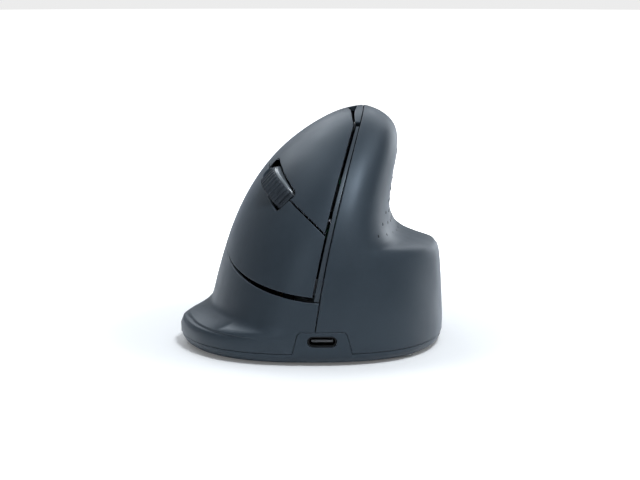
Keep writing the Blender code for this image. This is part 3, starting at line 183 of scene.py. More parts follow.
# ---- Studio ----
FLOOR_GLOW = (0.12, 0.97)  # the paper's glow near the mouse and far from it
GLOW_REACH = (0.065, 0.18)  # metres from the middle of the paper
WORLD_LIGHT = 0.10
LAMP_DISTANCE = 0.8
LAMP_COLOUR = (0.89, 0.945, 1.0)
LAMP_CENTRE = Vector((0, 0, 0.04))
BOX_SIZE = 0.42  # metres
SOFTBOXES = [  # name, degrees from the camera's side towards +X, degrees up, radiance, size if another
    ("over_right", 90, 62, 1.5),
    ("back_right_low", 145, 6, 2.2),
    ("front_right", 45, 35, 0.6),
    ("back_left", -155, 36, 2.3),
    ("back_right", 155, 38, 1.7),
    ("right_low", 112, -2, 0.9),
    ("right", 75, 35, 0.4),
    ("over_left", -112, 60, 1.5),
    ("over_back", 180, 45, 1.2),
    ("front_top", 27, 58, 46.0, 0.16),
    ("front_left", -30, 22, 1.0),
]
CAMERA_AT, CAMERA_PITCH = (-0.00064, -0.67398, 0.13436), 82
LENS, SENSOR_WIDTH = 112.5, 36.0
PICTURE_WIDTH, SHIFT = 640, (9, -24.5)  # the shift is in pixels of a picture this wide


# ---- Curves and the casing's surface ----
def bspline(points, smooth_end):
    """Points along the cubic B-spline of these control points, from the first to the last of them.
    With smooth_end the curve arrives level at its last point, as it must on the ridge."""
    p = np.array(points, float)
    before = 2 * p[0] - p[1]
    after = np.array([2 * p[-1][0] - p[-2][0], p[-2][1]]) if smooth_end else 2 * p[-1] - p[-2]
    p = np.vstack([before, p, after])
    t = np.linspace(0, 1, SPAN_STEPS, endpoint=False)[:, None]
    weights = [(1 - t) ** 3, 3 * t ** 3 - 6 * t ** 2 + 4, -3 * t ** 3 + 3 * t ** 2 + 3 * t + 1, t ** 3]
    spans = [sum(w * p[i + k] for k, w in enumerate(weights)) / 6 for i in range(len(p) - 3)]
    end = (p[-3] + 4 * p[-2] + p[-1]) / 6
    return np.vstack(spans + [end])


def outline(points, smooth_end=True):
    """A function that gives an outline's first coordinate at height z."""
    curve = bspline(points, smooth_end)
    return lambda z: np.interp(z, curve[:, 1], curve[:, 0])


middle_x = {FINGER: outline(FINGER_OUTLINE), THUMB: outline(THUMB_OUTLINE)}
end_x = {FINGER: outline(FINGER_BACK_OUTLINE), THUMB: outline(THUMB_END_OUTLINE)}
front_y = outline(FRONT_OUTLINE)
back_y = outline(BACK_OUTLINE)
front_round = {FINGER: outline(FINGER_FRONT_ROUND, False), THUMB: outline(THUMB_FRONT_ROUND, False)}
back_round = outline(BACK_ROUND, False)


def smooth_step(t):
    """0 to 1, level at both ends."""
    t = np.clip(t, 0, 1)
    return t * t * (3 - 2 * t)


def rise(psi, degrees):
    """0 to 1 over this range of degrees round the body."""
    start, end = (radians(d) for d in degrees)
    return smooth_step((psi - start) / (end - start))


def side_x(side, psi, z):
    """x of the casing's side at height z, as the level at this angle round the body follows it."""
    share = 1 - rise(psi, LEDGE_TO) if side == FINGER else rise(psi, SHELF_FROM) * (1 - rise(psi, SHELF_TO))
    return end_x[side](z) + share * (middle_x[side](z) - end_x[side](z))


def prow_x(z):
    """The line between the finger half and the thumb half leans towards the thumb."""
    return 0.10 * z + 0.0016 * z * z


def middle_y(z):
    """y of the line between the front and back quarters of a level."""
    return MIDDLE_Y + (RIDGE_Y - MIDDLE_Y) * smooth_step(z / TOP)


def skin(side, psi, z):
    """A point of the casing's outer surface: psi runs round a level from the prow to the back."""
    psi, z = np.broadcast_arrays(np.asarray(psi, float), np.asarray(z, float))
    x0, y0 = prow_x(z), middle_y(z)
    below_top = z < TOP - 0.001
    across = side * (side_x(side, psi, z) - x0) * below_top
    along = np.where(np.cos(psi) > 0, y0 - front_y(z), back_y(z) - y0) * below_top
    to_back = smooth_step((psi - radians(60)) / radians(60))
    n = front_round[side](z) * (1 - to_back) + back_round(z) * to_back
    sine, cosine = np.abs(np.sin(psi)), np.abs(np.cos(psi))
    rho = (sine ** n + cosine ** n) ** (-1 / n)
    x = x0 + side * (across * rho * np.sin(psi) + SEAM / 2)
    y = y0 - along * rho * np.cos(psi)
    return np.stack([x, y, z], -1)


def outward(side, psi, z):
    """The unit normal of skin()."""
    psi, z = np.broadcast_arrays(np.asarray(psi, float), np.asarray(z, float))
    z1, z0 = np.clip(z + 0.1, FOOT, TOP), np.clip(z - 0.1, FOOT, TOP - 0.05)
    below = np.minimum(z, TOP - 0.02)
    round_step = skin(side, psi + 0.01, below) - skin(side, psi - 0.01, below)
    up_step = skin(side, psi, z1) - skin(side, psi, z0)
    normal = np.cross(round_step, up_step) * side
    normal[z > TOP - 0.01] = (0, 0, 1)
    return normal / np.linalg.norm(normal, axis=-1, keepdims=True)


def psi_at(side, distance, z):
    """The angle round the body at this sideways distance from the prow line, in front."""
    z = np.asarray(z, float)
    share = np.clip(distance / (side * (side_x(side, 0.1, z) - prow_x(z))), 0, 0.95)
    n = front_round[side](z)
    return np.arctan2(share, (1 - share ** n) ** (1 / n))


def key_edge(z):
    """Distance from the prow line to the buttons' front edges."""
    return np.interp(z, [KEY_BOTTOM, KEY_TOP], [KEY_EDGE_LOW, KEY_EDGE_HIGH])


def key_bottom(psi):
    """Top edge of the casing under the lower button, which climbs towards the back."""
    return KEY_BOTTOM + KEY_CLIMB * (psi / KEY_CLIMB_PSI) ** 1.5


def key_gap(psi):
    """Gap under the lower button, which closes towards the hinge."""
    fade = np.clip(1 - (psi / KEY_GAP_PSI) ** 2, 0, 1)
    return KEY_GAP_BACK + (KEY_GAP_FRONT - KEY_GAP_BACK) * fade


def slit_z(psi):
    """Centre line of the gap between the two finger buttons."""
    return SLIT_START + SLIT_RISE * (1 - np.exp(-psi / SLIT_BEND))


def slit_edge(psi, half):
    """That gap's edge on the upper or the lower button."""
    return slit_z(psi) + half * SLIT / 2


def key_top(psi):
    """Top edge of the upper button: up from the trim strip, then along the ridge."""
    past_trim = np.clip(psi - KEY_TOP_FROM, 0, None)
    return KEY_TOP + KEY_TOP_RISE * (1 - np.exp(-past_trim / KEY_TOP_BEND))


def hinge_edge(z):
    """The angle at which the buttons end, with an even gap to the casing behind them."""
    step = skin(FINGER, HINGE_PSI + 0.01, z) - skin(FINGER, HINGE_PSI - 0.01, z)
    return float(HINGE_PSI - HINGE_GAP * 0.02 / np.linalg.norm(step))


# ---- Fine meshes ----
def linked(name, data):
    """A new object in the scene, with this mesh, light or camera."""
    made = bpy.data.objects.new(name, data)
    bpy.context.scene.collection.objects.link(made)
    return made


class Skin:
    """Collects one mesh: points in raw millimetres, faces, and a normal for each face corner."""

    def __init__(self):
        self.points, self.faces, self.normals = [], [], []

    def add(self, points):
        """Adds points and gives their numbers."""
        start = len(self.points)
        self.points.extend(np.asarray(points, float).reshape(-1, 3))
        return np.arange(start, len(self.points))

    def face(self, corners, normals):
        """Adds a face with one normal for each of its corners."""
        self.faces.append([int(c) for c in corners])
        self.normals.extend(normals)

    def band(self, low, high, low_normals, high_normals, flip=False):
        """Quads between two closed rows of points."""
        count = len(low)
        for k in range(count):
            m = (k + 1) % count
            corners = [low[k], low[m], high[m], high[k]]
            normals = [low_normals[k], low_normals[m], high_normals[m], high_normals[k]]
            if flip:
                corners, normals = corners[::-1], normals[::-1]
            self.face(corners, normals)

    def make(self, name):
        """The finished object, in the frame's metres."""
        mesh = bpy.data.meshes.new(name)
        points = (np.array(self.points) - np.array(CENTRE)) * MM
        mesh.from_pydata(points.tolist(), [], self.faces)
        mesh.shade_smooth()
        normals = np.array(self.normals)
        normals /= np.maximum(np.linalg.norm(normals, axis=1, keepdims=True), 1e-9)
        mesh.normals_split_custom_set(normals.tolist())
        return linked(name, mesh)


def unit(v):
    return v / np.maximum(np.linalg.norm(v, axis=-1, keepdims=True), 1e-9)


def to_flat(psi, z):
    """A nearly even chart of the surface: millimetres round the body, and along the dome."""
    z = np.asarray(z, float)
    dome = DOME_FROM + DOME_LENGTH * (1 - np.sqrt(np.clip((TOP - z) / (TOP - DOME_FROM), 0, None)))
    return np.stack([np.asarray(psi) * AROUND, np.where(z < DOME_FROM, z, dome)], -1)


def from_flat(flat):
    """(psi, z) of points in that chart."""
    flat = np.asarray(flat, float)
    height = TOP - (TOP - DOME_FROM) * (1 - (flat[:, 1] - DOME_FROM) / DOME_LENGTH) ** 2
    return flat[:, 0] / AROUND, np.where(flat[:, 1] < DOME_FROM, flat[:, 1], height)


def densify(ring, step, closed=True):
    """The same ring of (psi, z) corners with points no further apart than step, in the flat chart."""
    flat = to_flat(*np.array(ring, float).T)
    after = np.roll(flat, -1, 0) if closed else flat[1:]
    out = []
    for a, b in zip(flat, after):
        count = max(1, int(ceil(np.linalg.norm(b - a) / step)))
        out += [a + (b - a) * k / count for k in range(count)]
    if not closed:
        out.append(flat[-1])
    return from_flat(np.array(out))


def slopes(side, psi, z):
    """Change of the surface point with psi and with z."""
    z1, z0 = np.minimum(z + 0.02, TOP - 0.0002), np.minimum(z, TOP - 0.0002) - 0.02
    by_psi = (skin(side, psi + 1e-3, z) - skin(side, psi - 1e-3, z)) / 2e-3
    by_z = (skin(side, psi, z1) - skin(side, psi, z0)) / (z1 - z0)[:, None]
    return by_psi, by_z


def move(side, psi, z, by):
    """(psi, z) after a small step over the surface."""
    a, b = slopes(side, psi, z)
    aa, ab, bb = (a * a).sum(1), (a * b).sum(1), (b * b).sum(1)
    da, db = (a * by).sum(1), (b * by).sum(1)
    det = np.maximum(aa * bb - ab * ab, 1e-9)
    return psi + (bb * da - ab * db) / det, z + (aa * db - ab * da) / det


def area(psi, z):
    """Signed area of a ring in the flat chart."""
    flat = to_flat(psi, z)
    after = np.roll(flat, -1, 0)
    return 0.5 * float((flat[:, 0] * after[:, 1] - flat[:, 1] * after[:, 0]).sum())


def inside(rings, u, v):
    """Which points of the chart are in the first ring and in none of its holes."""
    hits = np.zeros(len(u), int)
    for ring in rings:
        after = np.roll(ring, -1, 0)
        for p, q in zip(ring, after):
            crossed = (p[1] > v) != (q[1] > v)
            slope = (q[0] - p[0]) / (q[1] - p[1]) if q[1] != p[1] else 0
            hits += crossed & (u < p[0] + (v - p[1]) * slope)
    return hits % 2 == 1


def upright(side, psi, z):
    """Outward normals, kept upright near the ridge, where the surface's two directions cross over."""
    normal = outward(side, psi, z)
    over = (z > RIDGE_FLAT) & (normal[:, 2] < 0)
    normal[over] = -normal[over]
    return normal


def inset(side, loop, edge, is_hole):
    """A loop's places, normals, inward directions, edge sizes, and the ring inside its rounded edge."""
    psi, z = densify(loop, EDGE_STEP)
    place = skin(side, psi, z)
    normal = upright(side, psi, z)
    tangent = unit(np.roll(place, -1, 0) - np.roll(place, 1, 0))
    inward = unit(np.cross(normal, tangent))
    across = side * (skin(side, np.full_like(z, pi / 2), z)[:, 0] - prow_x(z)) - SEAM / 2
    size = np.where(z < LOW_SEAM, LOW_EDGE, edge)
    size = np.minimum(size, 0.3 * np.maximum(across, 0))[:, None]
    psi1, z1 = move(side, psi, z, inward * size)
    grows = abs(area(psi1, z1)) > abs(area(psi, z))
    if grows != is_hole:
        inward = -inward
        psi1, z1 = move(side, psi, z, inward * size)
    ring = to_flat(np.clip(psi1, 0, pi), np.minimum(z1, TOP - 0.0004))
    return place, normal, inward, size, ring


def filled(rings, fixed, spacing):
    """Triangles between these rings of the chart, along the fixed lines: every point's psi and z,
    the triangles, and the point that each corner became."""
    low, high = rings[0].min(0), rings[0].max(0)
    grid_u, grid_v = np.meshgrid(np.arange(low[0] + spacing / 2, high[0], spacing),
                                 np.arange(low[1] + spacing / 2, high[1], spacing))
    u, v = grid_u.ravel(), grid_v.ravel()
    border = np.concatenate(rings + fixed)
    near = np.array([np.hypot(border[:, 0] - a, border[:, 1] - b).min() for a, b in zip(u, v)])
    take = inside(rings, u, v) & (near > spacing * 0.55)
    corners, edges = [], []
    for index, line in enumerate(rings + fixed):
        first, count = len(corners), len(line)
        corners += line.tolist()
        steps = count if index < len(rings) else count - 1
        edges += [(first + k, first + (k + 1) % count) for k in range(steps)]
    corners += np.stack([u[take], v[take]], -1).tolist()
    # Kind 2 is meant to leave holes open, but the thumb buttons' window still comes out filled.
    kind = 2 if len(rings) > 1 else 1
    flat, _, triangles, origin = delaunay_2d_cdt([Vector(c) for c in corners], edges, [], kind, 1e-6)[:4]
    psi, z = from_flat(np.array([tuple(p) for p in flat]))
    where = {source: k for k, sources in enumerate(origin) for source in sources}
    return psi, z, triangles, where


def panel(name, side, loops, spacing=1.8, edge=0.3, wall=1.6, lift=0.0, sink=None, lines=()):
    """A closed panel of the casing with rounded edges. loops are rings of (psi, z): outline, then holes."""
    mesh = Skin()
    rims = [inset(side, loop, edge, index > 0) for index, loop in enumerate(loops)]
    fixed = [to_flat(*densify(line, EDGE_STEP, False)) for line in lines]
    psi, z, triangles, where = filled([rim[-1] for rim in rims], fixed, spacing)
    normal = upright(side, psi, z)
    deep = sink(psi, z)[:, None] if sink else np.zeros((len(psi), 1))
    surface = skin(side, psi, z) + (lift - deep) * normal
    shade = tilted(side, psi, z, sink) if sink else normal
    outer = mesh.add(surface)
    inner = mesh.add(skin(side, psi, z) - wall * normal)
    first = triangles[0]
    facing = np.cross(surface[first[1]] - surface[first[0]], surface[first[2]] - surface[first[0]])
    turned_in = facing @ normal[first[0]] < 0
    for t in triangles:
        t = t[::-1] if turned_in else t
        mesh.face([outer[k] for k in t], [shade[k] for k in t])
        mesh.face([inner[k] for k in t[::-1]], [-normal[k] for k in t[::-1]])
    first = 0
    for place, out, inward, size, ring in rims:
        order = [where[first + k] for k in range(len(ring))]
        first += len(ring)
        rows, tints = [outer[order]], [shade[order]]
        drop = (deep[order] if sink else 0) - lift
        for angle in EDGE_ANGLES:
            way = -inward * cos(angle) + out * sin(angle)
            centre = place + inward * size - out * (size + drop)
            rows.append(mesh.add(centre + way * size))
            tints.append(way)
        rows.append(inner[order])
        tints.append(-inward)
        a0, a1 = mesh.points[rows[1][0]], mesh.points[rows[0][0]]
        a2 = mesh.points[rows[0][1]]
        flip = np.cross(a1 - a2, a0 - a1) @ out[0] < 0
        for k in range(len(rows) - 1):
            after = tints[k + 1] if k < len(rows) - 2 else -inward
            mesh.band(rows[k], rows[k + 1], tints[k], after, flip=not flip)
    return mesh.make(name)


def tilted(side, psi, z, sink):
    """The surface normal where sink() draws the surface in."""
    def at(p, h):
        return skin(side, p, h) - sink(p, h)[:, None] * outward(side, p, h)
    by_psi = at(psi + 2e-3, z) - at(psi - 2e-3, z)
    by_z = at(psi, np.minimum(z + 0.03, TOP)) - at(psi, z - 0.03)
    return unit(np.cross(by_psi, by_z) * side)


def turned(name, profile, frame, count, wave=None):
    """A closed (radius, height) profile turned about the frame's third axis. wave(k) cuts into its rows."""
    rows = len(profile)
    points, faces = [], []
    for k in range(count):
        a = 2 * pi * k / count
        for i, (r, h) in enumerate(profile):
            r = r - (wave(k, i) if wave else 0)
            points.append((r * cos(a), r * sin(a), h))
    for k in range(count):
        for i in range(rows):
            j, m = (i + 1) % rows, (k + 1) % count
            faces.append([k * rows + i, k * rows + j, m * rows + j, m * rows + i])
    return plain(name, points, faces, frame)


def smoothed(mesh):
    """Smooth shading with the sharp edges kept."""
    mesh.shade_smooth()
    mesh.set_sharp_from_angle(angle=radians(35))


def plain(name, points, faces, frame=None):
    """An object from raw millimetres in this frame."""
    frame = frame or Matrix.Identity(4)
    mesh = bpy.data.meshes.new(name)
    mesh.from_pydata([((frame @ Vector(p)) - Vector(CENTRE)) * MM for p in points], [], faces)
    work = bmesh.new()
    work.from_mesh(mesh)
    bmesh.ops.remove_doubles(work, verts=work.verts, dist=1e-7)
    bmesh.ops.recalc_face_normals(work, faces=work.faces)
    work.to_mesh(mesh)
    work.free()
    smoothed(mesh)
    return linked(name, mesh)


def stacked(name, rings, heights, frame=None):
    """A solid through rings of (x, y) at these heights, with a face over each end."""
    count, last = len(rings[0]), len(rings) - 1
    points = [(x, y, z) for ring, z in zip(rings, heights) for x, y in ring]
    faces = []
    for i in range(last):
        for k in range(count):
            a, b = i * count + k, i * count + (k + 1) % count
            faces.append([a, b, b + count, a + count])
    faces += [list(range(count - 1, -1, -1)), list(range(last * count, len(points)))]
    return plain(name, points, faces, frame)


def prism(name, ring, low, high, frame=None):
    """A ring of (x, y) drawn out from one height to another."""
    return stacked(name, [ring, ring], (low, high), frame)


def circle(radius, count=48, at=(0, 0)):
    turn = [2 * pi * k / count for k in range(count)]
    return [(at[0] + radius * cos(a), at[1] + radius * sin(a)) for a in turn]


def rounded(width, height, radius, at=(0, 0), steps=8):
    """A rectangle with round corners."""
    ring = []
    for k, (sx, sy) in enumerate([(1, 1), (-1, 1), (-1, -1), (1, -1)]):
        cx, cy = at[0] + sx * (width / 2 - radius), at[1] + sy * (height / 2 - radius)
        for s in range(steps + 1):
            a = pi / 2 * (k + s / steps)
            ring.append((cx + radius * cos(a), cy + radius * sin(a)))
    return ring


def combine(operation, target, *others):
    """Joins the others to the target, or cuts them out of it, and removes them."""
    for other in others:
        step = target.modifiers.new(operation, "BOOLEAN")
        step.operation = operation
        step.solver = "EXACT"
        step.object = other
        graph = bpy.context.evaluated_depsgraph_get()
        result = bpy.data.meshes.new_from_object(target.evaluated_get(graph))
        target.modifiers.clear()
        target.data = result
        bpy.data.objects.remove(other)
    return target


# ---- The wheel's place in the finger side ----
def finger_frame():
    """Axes on the surface over the wheel: along the gap between the buttons, along the axle, outward."""
    psi, step = WHEEL_PSI, radians(20)
    here = skin(FINGER, psi, slit_z(psi))
    along = skin(FINGER, psi - step, slit_z(psi - step)) - skin(FINGER, psi + step, slit_z(psi + step))
    out = outward(FINGER, psi, slit_z(psi))
    along -= out * (along @ out)
    along /= np.linalg.norm(along)
    along = along * cos(WHEEL_TURN) + np.cross(out, along) * sin(WHEEL_TURN)
    axle = np.cross(out, along)
    made = Matrix.Identity(4)
    for k, column in enumerate((along, axle, out, here)):
        for row in range(3):
            made[row][k] = column[row]
    return made


FRAME = finger_frame()
ALONG, AXLE = (np.array(FRAME.col[k][:3]) for k in range(2))
AXLE_FRAME = FRAME @ Matrix.Translation((0, 0, -WHEEL_DEPTH)) @ Matrix.Rotation(-pi / 2, 4, "X")


def drop_on_skin(t, a):
    """(psi, z) of the surface under the point at t along and a across in that frame."""
    target = np.array(FRAME @ Vector((t, a, 0)))
    psi, z = WHEEL_PSI, float(slit_z(WHEEL_PSI))
    for _ in range(25):
        miss = skin(FINGER, psi, z) - target
        by_psi = (skin(FINGER, psi + 1e-3, z) - skin(FINGER, psi, z)) / 1e-3
        by_z = (skin(FINGER, psi, z + 0.05) - skin(FINGER, psi, z)) / 0.05
        system = [[by_psi @ ALONG, by_z @ ALONG], [by_psi @ AXLE, by_z @ AXLE]]
        step = np.linalg.solve(system, [-(miss @ ALONG), -(miss @ AXLE)])
        psi, z = psi + step[0], z + step[1]
    return psi, z


def end_on_slit(t, half):
    """Where an end of the slot meets one edge of the gap between the buttons."""
    reach = [drop_on_skin(t, a) for a in np.linspace(-SLOT_HALF_WIDTH + 0.6, SLOT_HALF_WIDTH - 0.6, 15)]
    over = [z - slit_edge(psi, half) for psi, z in reach]
    return tuple(np.interp(0, over, [p[k] for p in reach]) for k in range(2))


def slot_edge(half):
    """The upper or the lower button's half of the wheel's slot."""
    a0, t0, t1 = SLOT_HALF_WIDTH - SLOT_CORNER, SLOT_FRONT - SLOT_CORNER, SLOT_BACK - SLOT_CORNER
    turn = [(SLOT_CORNER * cos(a), SLOT_CORNER * sin(a)) for a in np.linspace(0, pi / 2, 7)]
    front = [(t0 + t, a0 + a) for t, a in turn]
    back = [(-t1 - t, a0 + a) for t, a in reversed(turn)]
    middle = [(t, SLOT_HALF_WIDTH) for t in np.linspace(t0, -t1, 16)[1:-1]]
    ends = [end_on_slit(SLOT_FRONT, half), end_on_slit(-SLOT_BACK, half)]
    return [ends[0]] + [drop_on_skin(t, half * a) for t, a in front + middle + back] + [ends[1]]


# ---- Casing panels ----
def over_ridge(z_front, z_back):
    """Up the prow line, over the ridge and down the back."""
    top = TOP - 0.0005
    heights = [DOME_FROM] + towards(DOME_FROM, top)
    rising = [(0.0, z_front)] + [(0.0, z) for z in heights if z > z_front + EDGE_STEP / 2]
    falling = [(pi, z) for z in heights[::-1]] + [(pi, z_back)]
    return rising + [(pi * k / 8, top) for k in range(1, 8)] + falling


def towards(low, high):
    """Heights that crowd together towards the ridge."""
    s = np.linspace(0, 1, 12)[1:]
    return list(high - (high - low) * (1 - s) ** 2)


def tab_edge(side, z):
    """Distance from the prow line to the casing's edge beside the tab."""
    height = np.minimum(z, TAB_TOP + FINE_SEAM)
    edge = TAB_RIGHT if side == THUMB else TAB_LEFT
    x = edge + side * ((TAB_TOP - height) * TAB_SLOPE + FINE_SEAM)
    return side * (x - prow_x(z)) - SEAM / 2


def below_tab(side):
    """Along the base seam from the back to the tab, then over the tab to the prow line."""
    low, high = BASE_TOP + FINE_SEAM, TAB_TOP + FINE_SEAM
    heights = np.linspace(low, high - TAB_CORNER, 6)
    corner = [(float(psi_at(side, tab_edge(side, z), z)), z) for z in heights]
    for a in np.linspace(0, pi / 2, 5)[1:]:
        z = high - TAB_CORNER * (1 - sin(a))
        distance = tab_edge(side, z) - TAB_CORNER * (1 - cos(a))
        corner.append((float(psi_at(side, distance, z)), z))
    return [(pi, low)] + corner + [(0.0, high)]


def finger_outline():
    ring = below_tab(FINGER)
    ring += [(p, float(key_bottom(p))) for p in np.linspace(0, HINGE_PSI, 40)]
    ring += [(p, float(key_top(p) + TOP_GAP)) for p in np.linspace(HINGE_PSI, 0, 40)]
    return ring + over_ridge(float(key_top(0) + TOP_GAP) + 1, BASE_TOP + SEAM + 1)


def thumb_outline():
    return below_tab(THUMB) + over_ridge(TAB_TOP + SEAM + 1, BASE_TOP + SEAM + 1)


def window(start, end, bottom, top, radius):
    """A rectangle of (psi, z) with round corners."""
    ring = rounded((end - start) * AROUND, top - bottom, radius,
                   ((end + start) / 2 * AROUND, (top + bottom) / 2), 5)
    return [(u / AROUND, z) for u, z in ring]


def key_boundary(half):
    """Outline of the upper or the lower finger button."""
    def front_edge(z):
        return float(psi_at(FINGER, key_edge(z) - SEAM / 2, z))

    def far_edge(p):
        return float(key_top(p) if half == UPPER else key_bottom(p) + key_gap(p))

    slot = slot_edge(half)
    before = np.linspace(front_edge(slit_z(0.1)), slot[0][0], 14)[:-1]
    behind = np.linspace(slot[-1][0], hinge_edge(float(slit_z(HINGE_PSI))), 10)[1:]
    near = [(p, float(slit_edge(p, half))) for p in before] + slot
    near += [(p, float(slit_edge(p, half))) for p in behind]
    start = front_edge(KEY_TOP if half == UPPER else KEY_BOTTOM + KEY_GAP_FRONT)
    far = [(p, far_edge(p)) for p in np.linspace(start, hinge_edge(far_edge(HINGE_PSI)), 40)]
    left = [(front_edge(z), z) for z in np.linspace(far[0][1], near[0][1], 20)[1:-1]]
    right = [(hinge_edge(z), z) for z in np.linspace(near[-1][1], far[-1][1], 6)[1:-1]]
    return near + right + far[::-1] + left


def strip_outline():
    heights = np.linspace(KEY_BOTTOM + SEAM, KEY_TOP - 0.4, 40)
    edge = psi_at(FINGER, key_edge(heights) - STRIP_GAP - SEAM / 2, heights)
    return [(0.0, heights[0]), (0.0, heights[-1])] + list(zip(edge[::-1].tolist(), heights[::-1].tolist()))


def lip_z(psi):
    """Height of the crease under the ledge's rim."""
    return np.interp(psi, np.radians(LIP_HEIGHT[0]), LIP_HEIGHT[1])


def lip(psi, z):
    """Depth of the crease under the rim of the little-finger ledge, which fades out at both ends."""
    along = smooth_step((psi - radians(14)) / radians(26))
    along = along * (1 - smooth_step((psi - radians(68)) / radians(20)))
    above = z - lip_z(psi)
    across = 1 - smooth_step(np.where(above < 0, -above / 0.9, above / 0.12))
    return LIP_DEPTH * along * across


def lean(_psi, z):
    """How far the trim strip lies under the casing."""
    return STRIP_DEPTH[0] + (STRIP_DEPTH[1] - STRIP_DEPTH[0]) * smooth_step((50 - z) / 28)


# ---- Base ----
def base_ring(z, inward, count=110):
    """The base's outline at height z, this far inside the surface."""
    psi = np.linspace(0, pi, count + 1)
    rings = []
    for side, order in ((THUMB, psi), (FINGER, psi[::-1])):
        points = skin(side, order, z)
        normal = outward(side, order, z)
        normal[:, 2] = 0
        points = points - inward * unit(normal) - np.array([side * SEAM / 2, 0, 0])
        rings.append(points[:-1])
    return np.concatenate(rings)[:, :2]


def base():
    """The tray with the tab, screw bosses, and openings for port, screws, feet, sensor and switches."""
    levels = [(FOOT, 0.35), (0.76, 0.14), (0.95, 0.0), (1.6, 0.0), (2.6, 0.0), (3.68, 0.0), (3.76, 0.04),
              (BASE_TOP, 0.12), (BASE_TOP, WALL), (FLOOR_TOP, WALL)]
    made = stacked("base_tray", [base_ring(*level) for level in levels], [z for z, _ in levels])
    bosses = [prism("boss", circle(BOSS_R, 48, at), BOSS_BOTTOM, BOSS_TOP) for at in CASE_SCREWS]
    combine("UNION", made, tab(), *bosses)
    port = prism("port", rounded(*PORT_HOLE, (PORT[0], PORT[2]), 12), -60, -50, TURN_TO_FRONT)
    screw = ((SHAFT_R, 32, 6), (HEAD_R, 48, HEAD_DEPTH))
    holes = [(circle(radius, sides, at), depth) for at in CASE_SCREWS for radius, sides, depth in screw]
    holes += [(foot_ring(foot), FOOT_RECESS) for foot in FEET]
    holes += [(rounded(*SENSOR_HOLE, SENSOR), THROUGH), (rounded(*SENSOR_STEP, SENSOR), SENSOR_STEP_DEPTH),
              (rounded(*POWER_HOLE, POWER), THROUGH), (circle(PAIRING_R, 40, PAIRING), THROUGH)]
    combine("DIFFERENCE", made, port, *[prism("hole", ring, 0, depth) for ring, depth in holes])
    smoothed(made.data)
    return made


def tab():
    """The part of the base that rises at the prow, with a rounded top edge."""
    rows = np.array([1.3, 2.6, 4.0, 5.5, 7.0, 8.4, 9.4, 10.0, 10.35, 10.6, 10.74, TAB_TOP])
    columns = 41
    outer = np.zeros((len(rows), columns, 3))
    inner = np.zeros_like(outer)
    for i, z in enumerate(rows):
        corner = TAB_CORNER - sqrt(max(TAB_CORNER ** 2 - max(z - (TAB_TOP - TAB_CORNER), 0) ** 2, 0))
        spread = (TAB_TOP - z) * TAB_SLOPE - corner
        across = np.linspace(-1, 1, columns)
        across = np.sign(across) * (1 - (1 - np.abs(across)) ** 1.6)
        middle, half = (TAB_LEFT + TAB_RIGHT) / 2, (TAB_RIGHT - TAB_LEFT) / 2 + spread
        for j, share in enumerate(across):
            x = middle + half * share
            side = THUMB if x > prow_x(z) else FINGER
            point = skin(side, psi_at(side, abs(x - prow_x(z)), z), z)
            to_edge = min(half * (1 - abs(share)), TAB_TOP - z)
            fall = max(0.0, 1 - to_edge / TAB_EDGE)
            y = point[1] - TAB_PROUD + TAB_EDGE * (1 - sqrt(1 - fall ** 2))
            outer[i, j] = (x, y, z)
            inner[i, j] = (middle + (x - middle) * (1 - 0.5 / half), point[1] + WALL, z)
    total = len(rows) * columns
    faces = []

    def at(i, j, layer=0):
        return layer * total + i * columns + j

    for i in range(len(rows) - 1):
        for j in range(columns - 1):
            faces.append([at(i, j), at(i + 1, j), at(i + 1, j + 1), at(i, j + 1)])
            faces.append([at(i, j + 1, 1), at(i + 1, j + 1, 1), at(i + 1, j, 1), at(i, j, 1)])
    last = len(rows) - 1
    ring = [(0, j) for j in range(columns)] + [(i, columns - 1) for i in range(1, last + 1)]
    ring += [(last, j) for j in range(columns - 2, -1, -1)] + [(i, 0) for i in range(last - 1, 0, -1)]
    for k in range(len(ring)):
        a, b = ring[k], ring[(k + 1) % len(ring)]
        faces.append([at(*a), at(*b), at(*b, 1), at(*a, 1)])
    return plain("tab", np.concatenate([outer.reshape(-1, 3), inner.reshape(-1, 3)]).tolist(), faces)


def foot_ring(foot):
    """The recess round a glide foot."""
    x, y, turn = foot
    length, width, radius = FOOT_SIZE
    ring = rounded(length + 2 * FOOT_GAP, width + 2 * FOOT_GAP, radius + FOOT_GAP, steps=10)
    c, s = cos(turn), sin(turn)
    return [(x + a * c + b * s, y - a * s + b * c) for a, b in ring]


# ---- Scroll wheel ----
def hub():
    """The glossy rim, with a ring of holes between its spokes."""
    half = WHEEL_W / 2
    near = [(AXLE_R + 0.1, 2.6), (4.0, half), (10.9, half), (11.5, half), (11.9, half - 0.1),
            (12.2, half - 0.35), (12.3, half - 0.65), (12.3, 2.9), (11.3, 2.9)]
    far = [(11.3, -3.5), (10.9, -half), (4.0, -half), (AXLE_R + 0.1, -2.6)]
    made = turned("wheel_rim", near + far, AXLE_FRAME, 144)
    tools = []
    for k in range(SPOKES):
        a = 2 * pi * k / SPOKES
        c, s = cos(a), sin(a)
        ring = [(SPOKE_R * c + u * c - v * s, SPOKE_R * s + u * s + v * c)
                for u, v in ((-1.5, -0.8), (1.5, -1.0), (1.5, 1.0), (-1.5, 0.8))]
        tools.append(prism("slot", ring, -5, 5, AXLE_FRAME))
    combine("DIFFERENCE", made, *tools)
    smoothed(made.data)
    return made


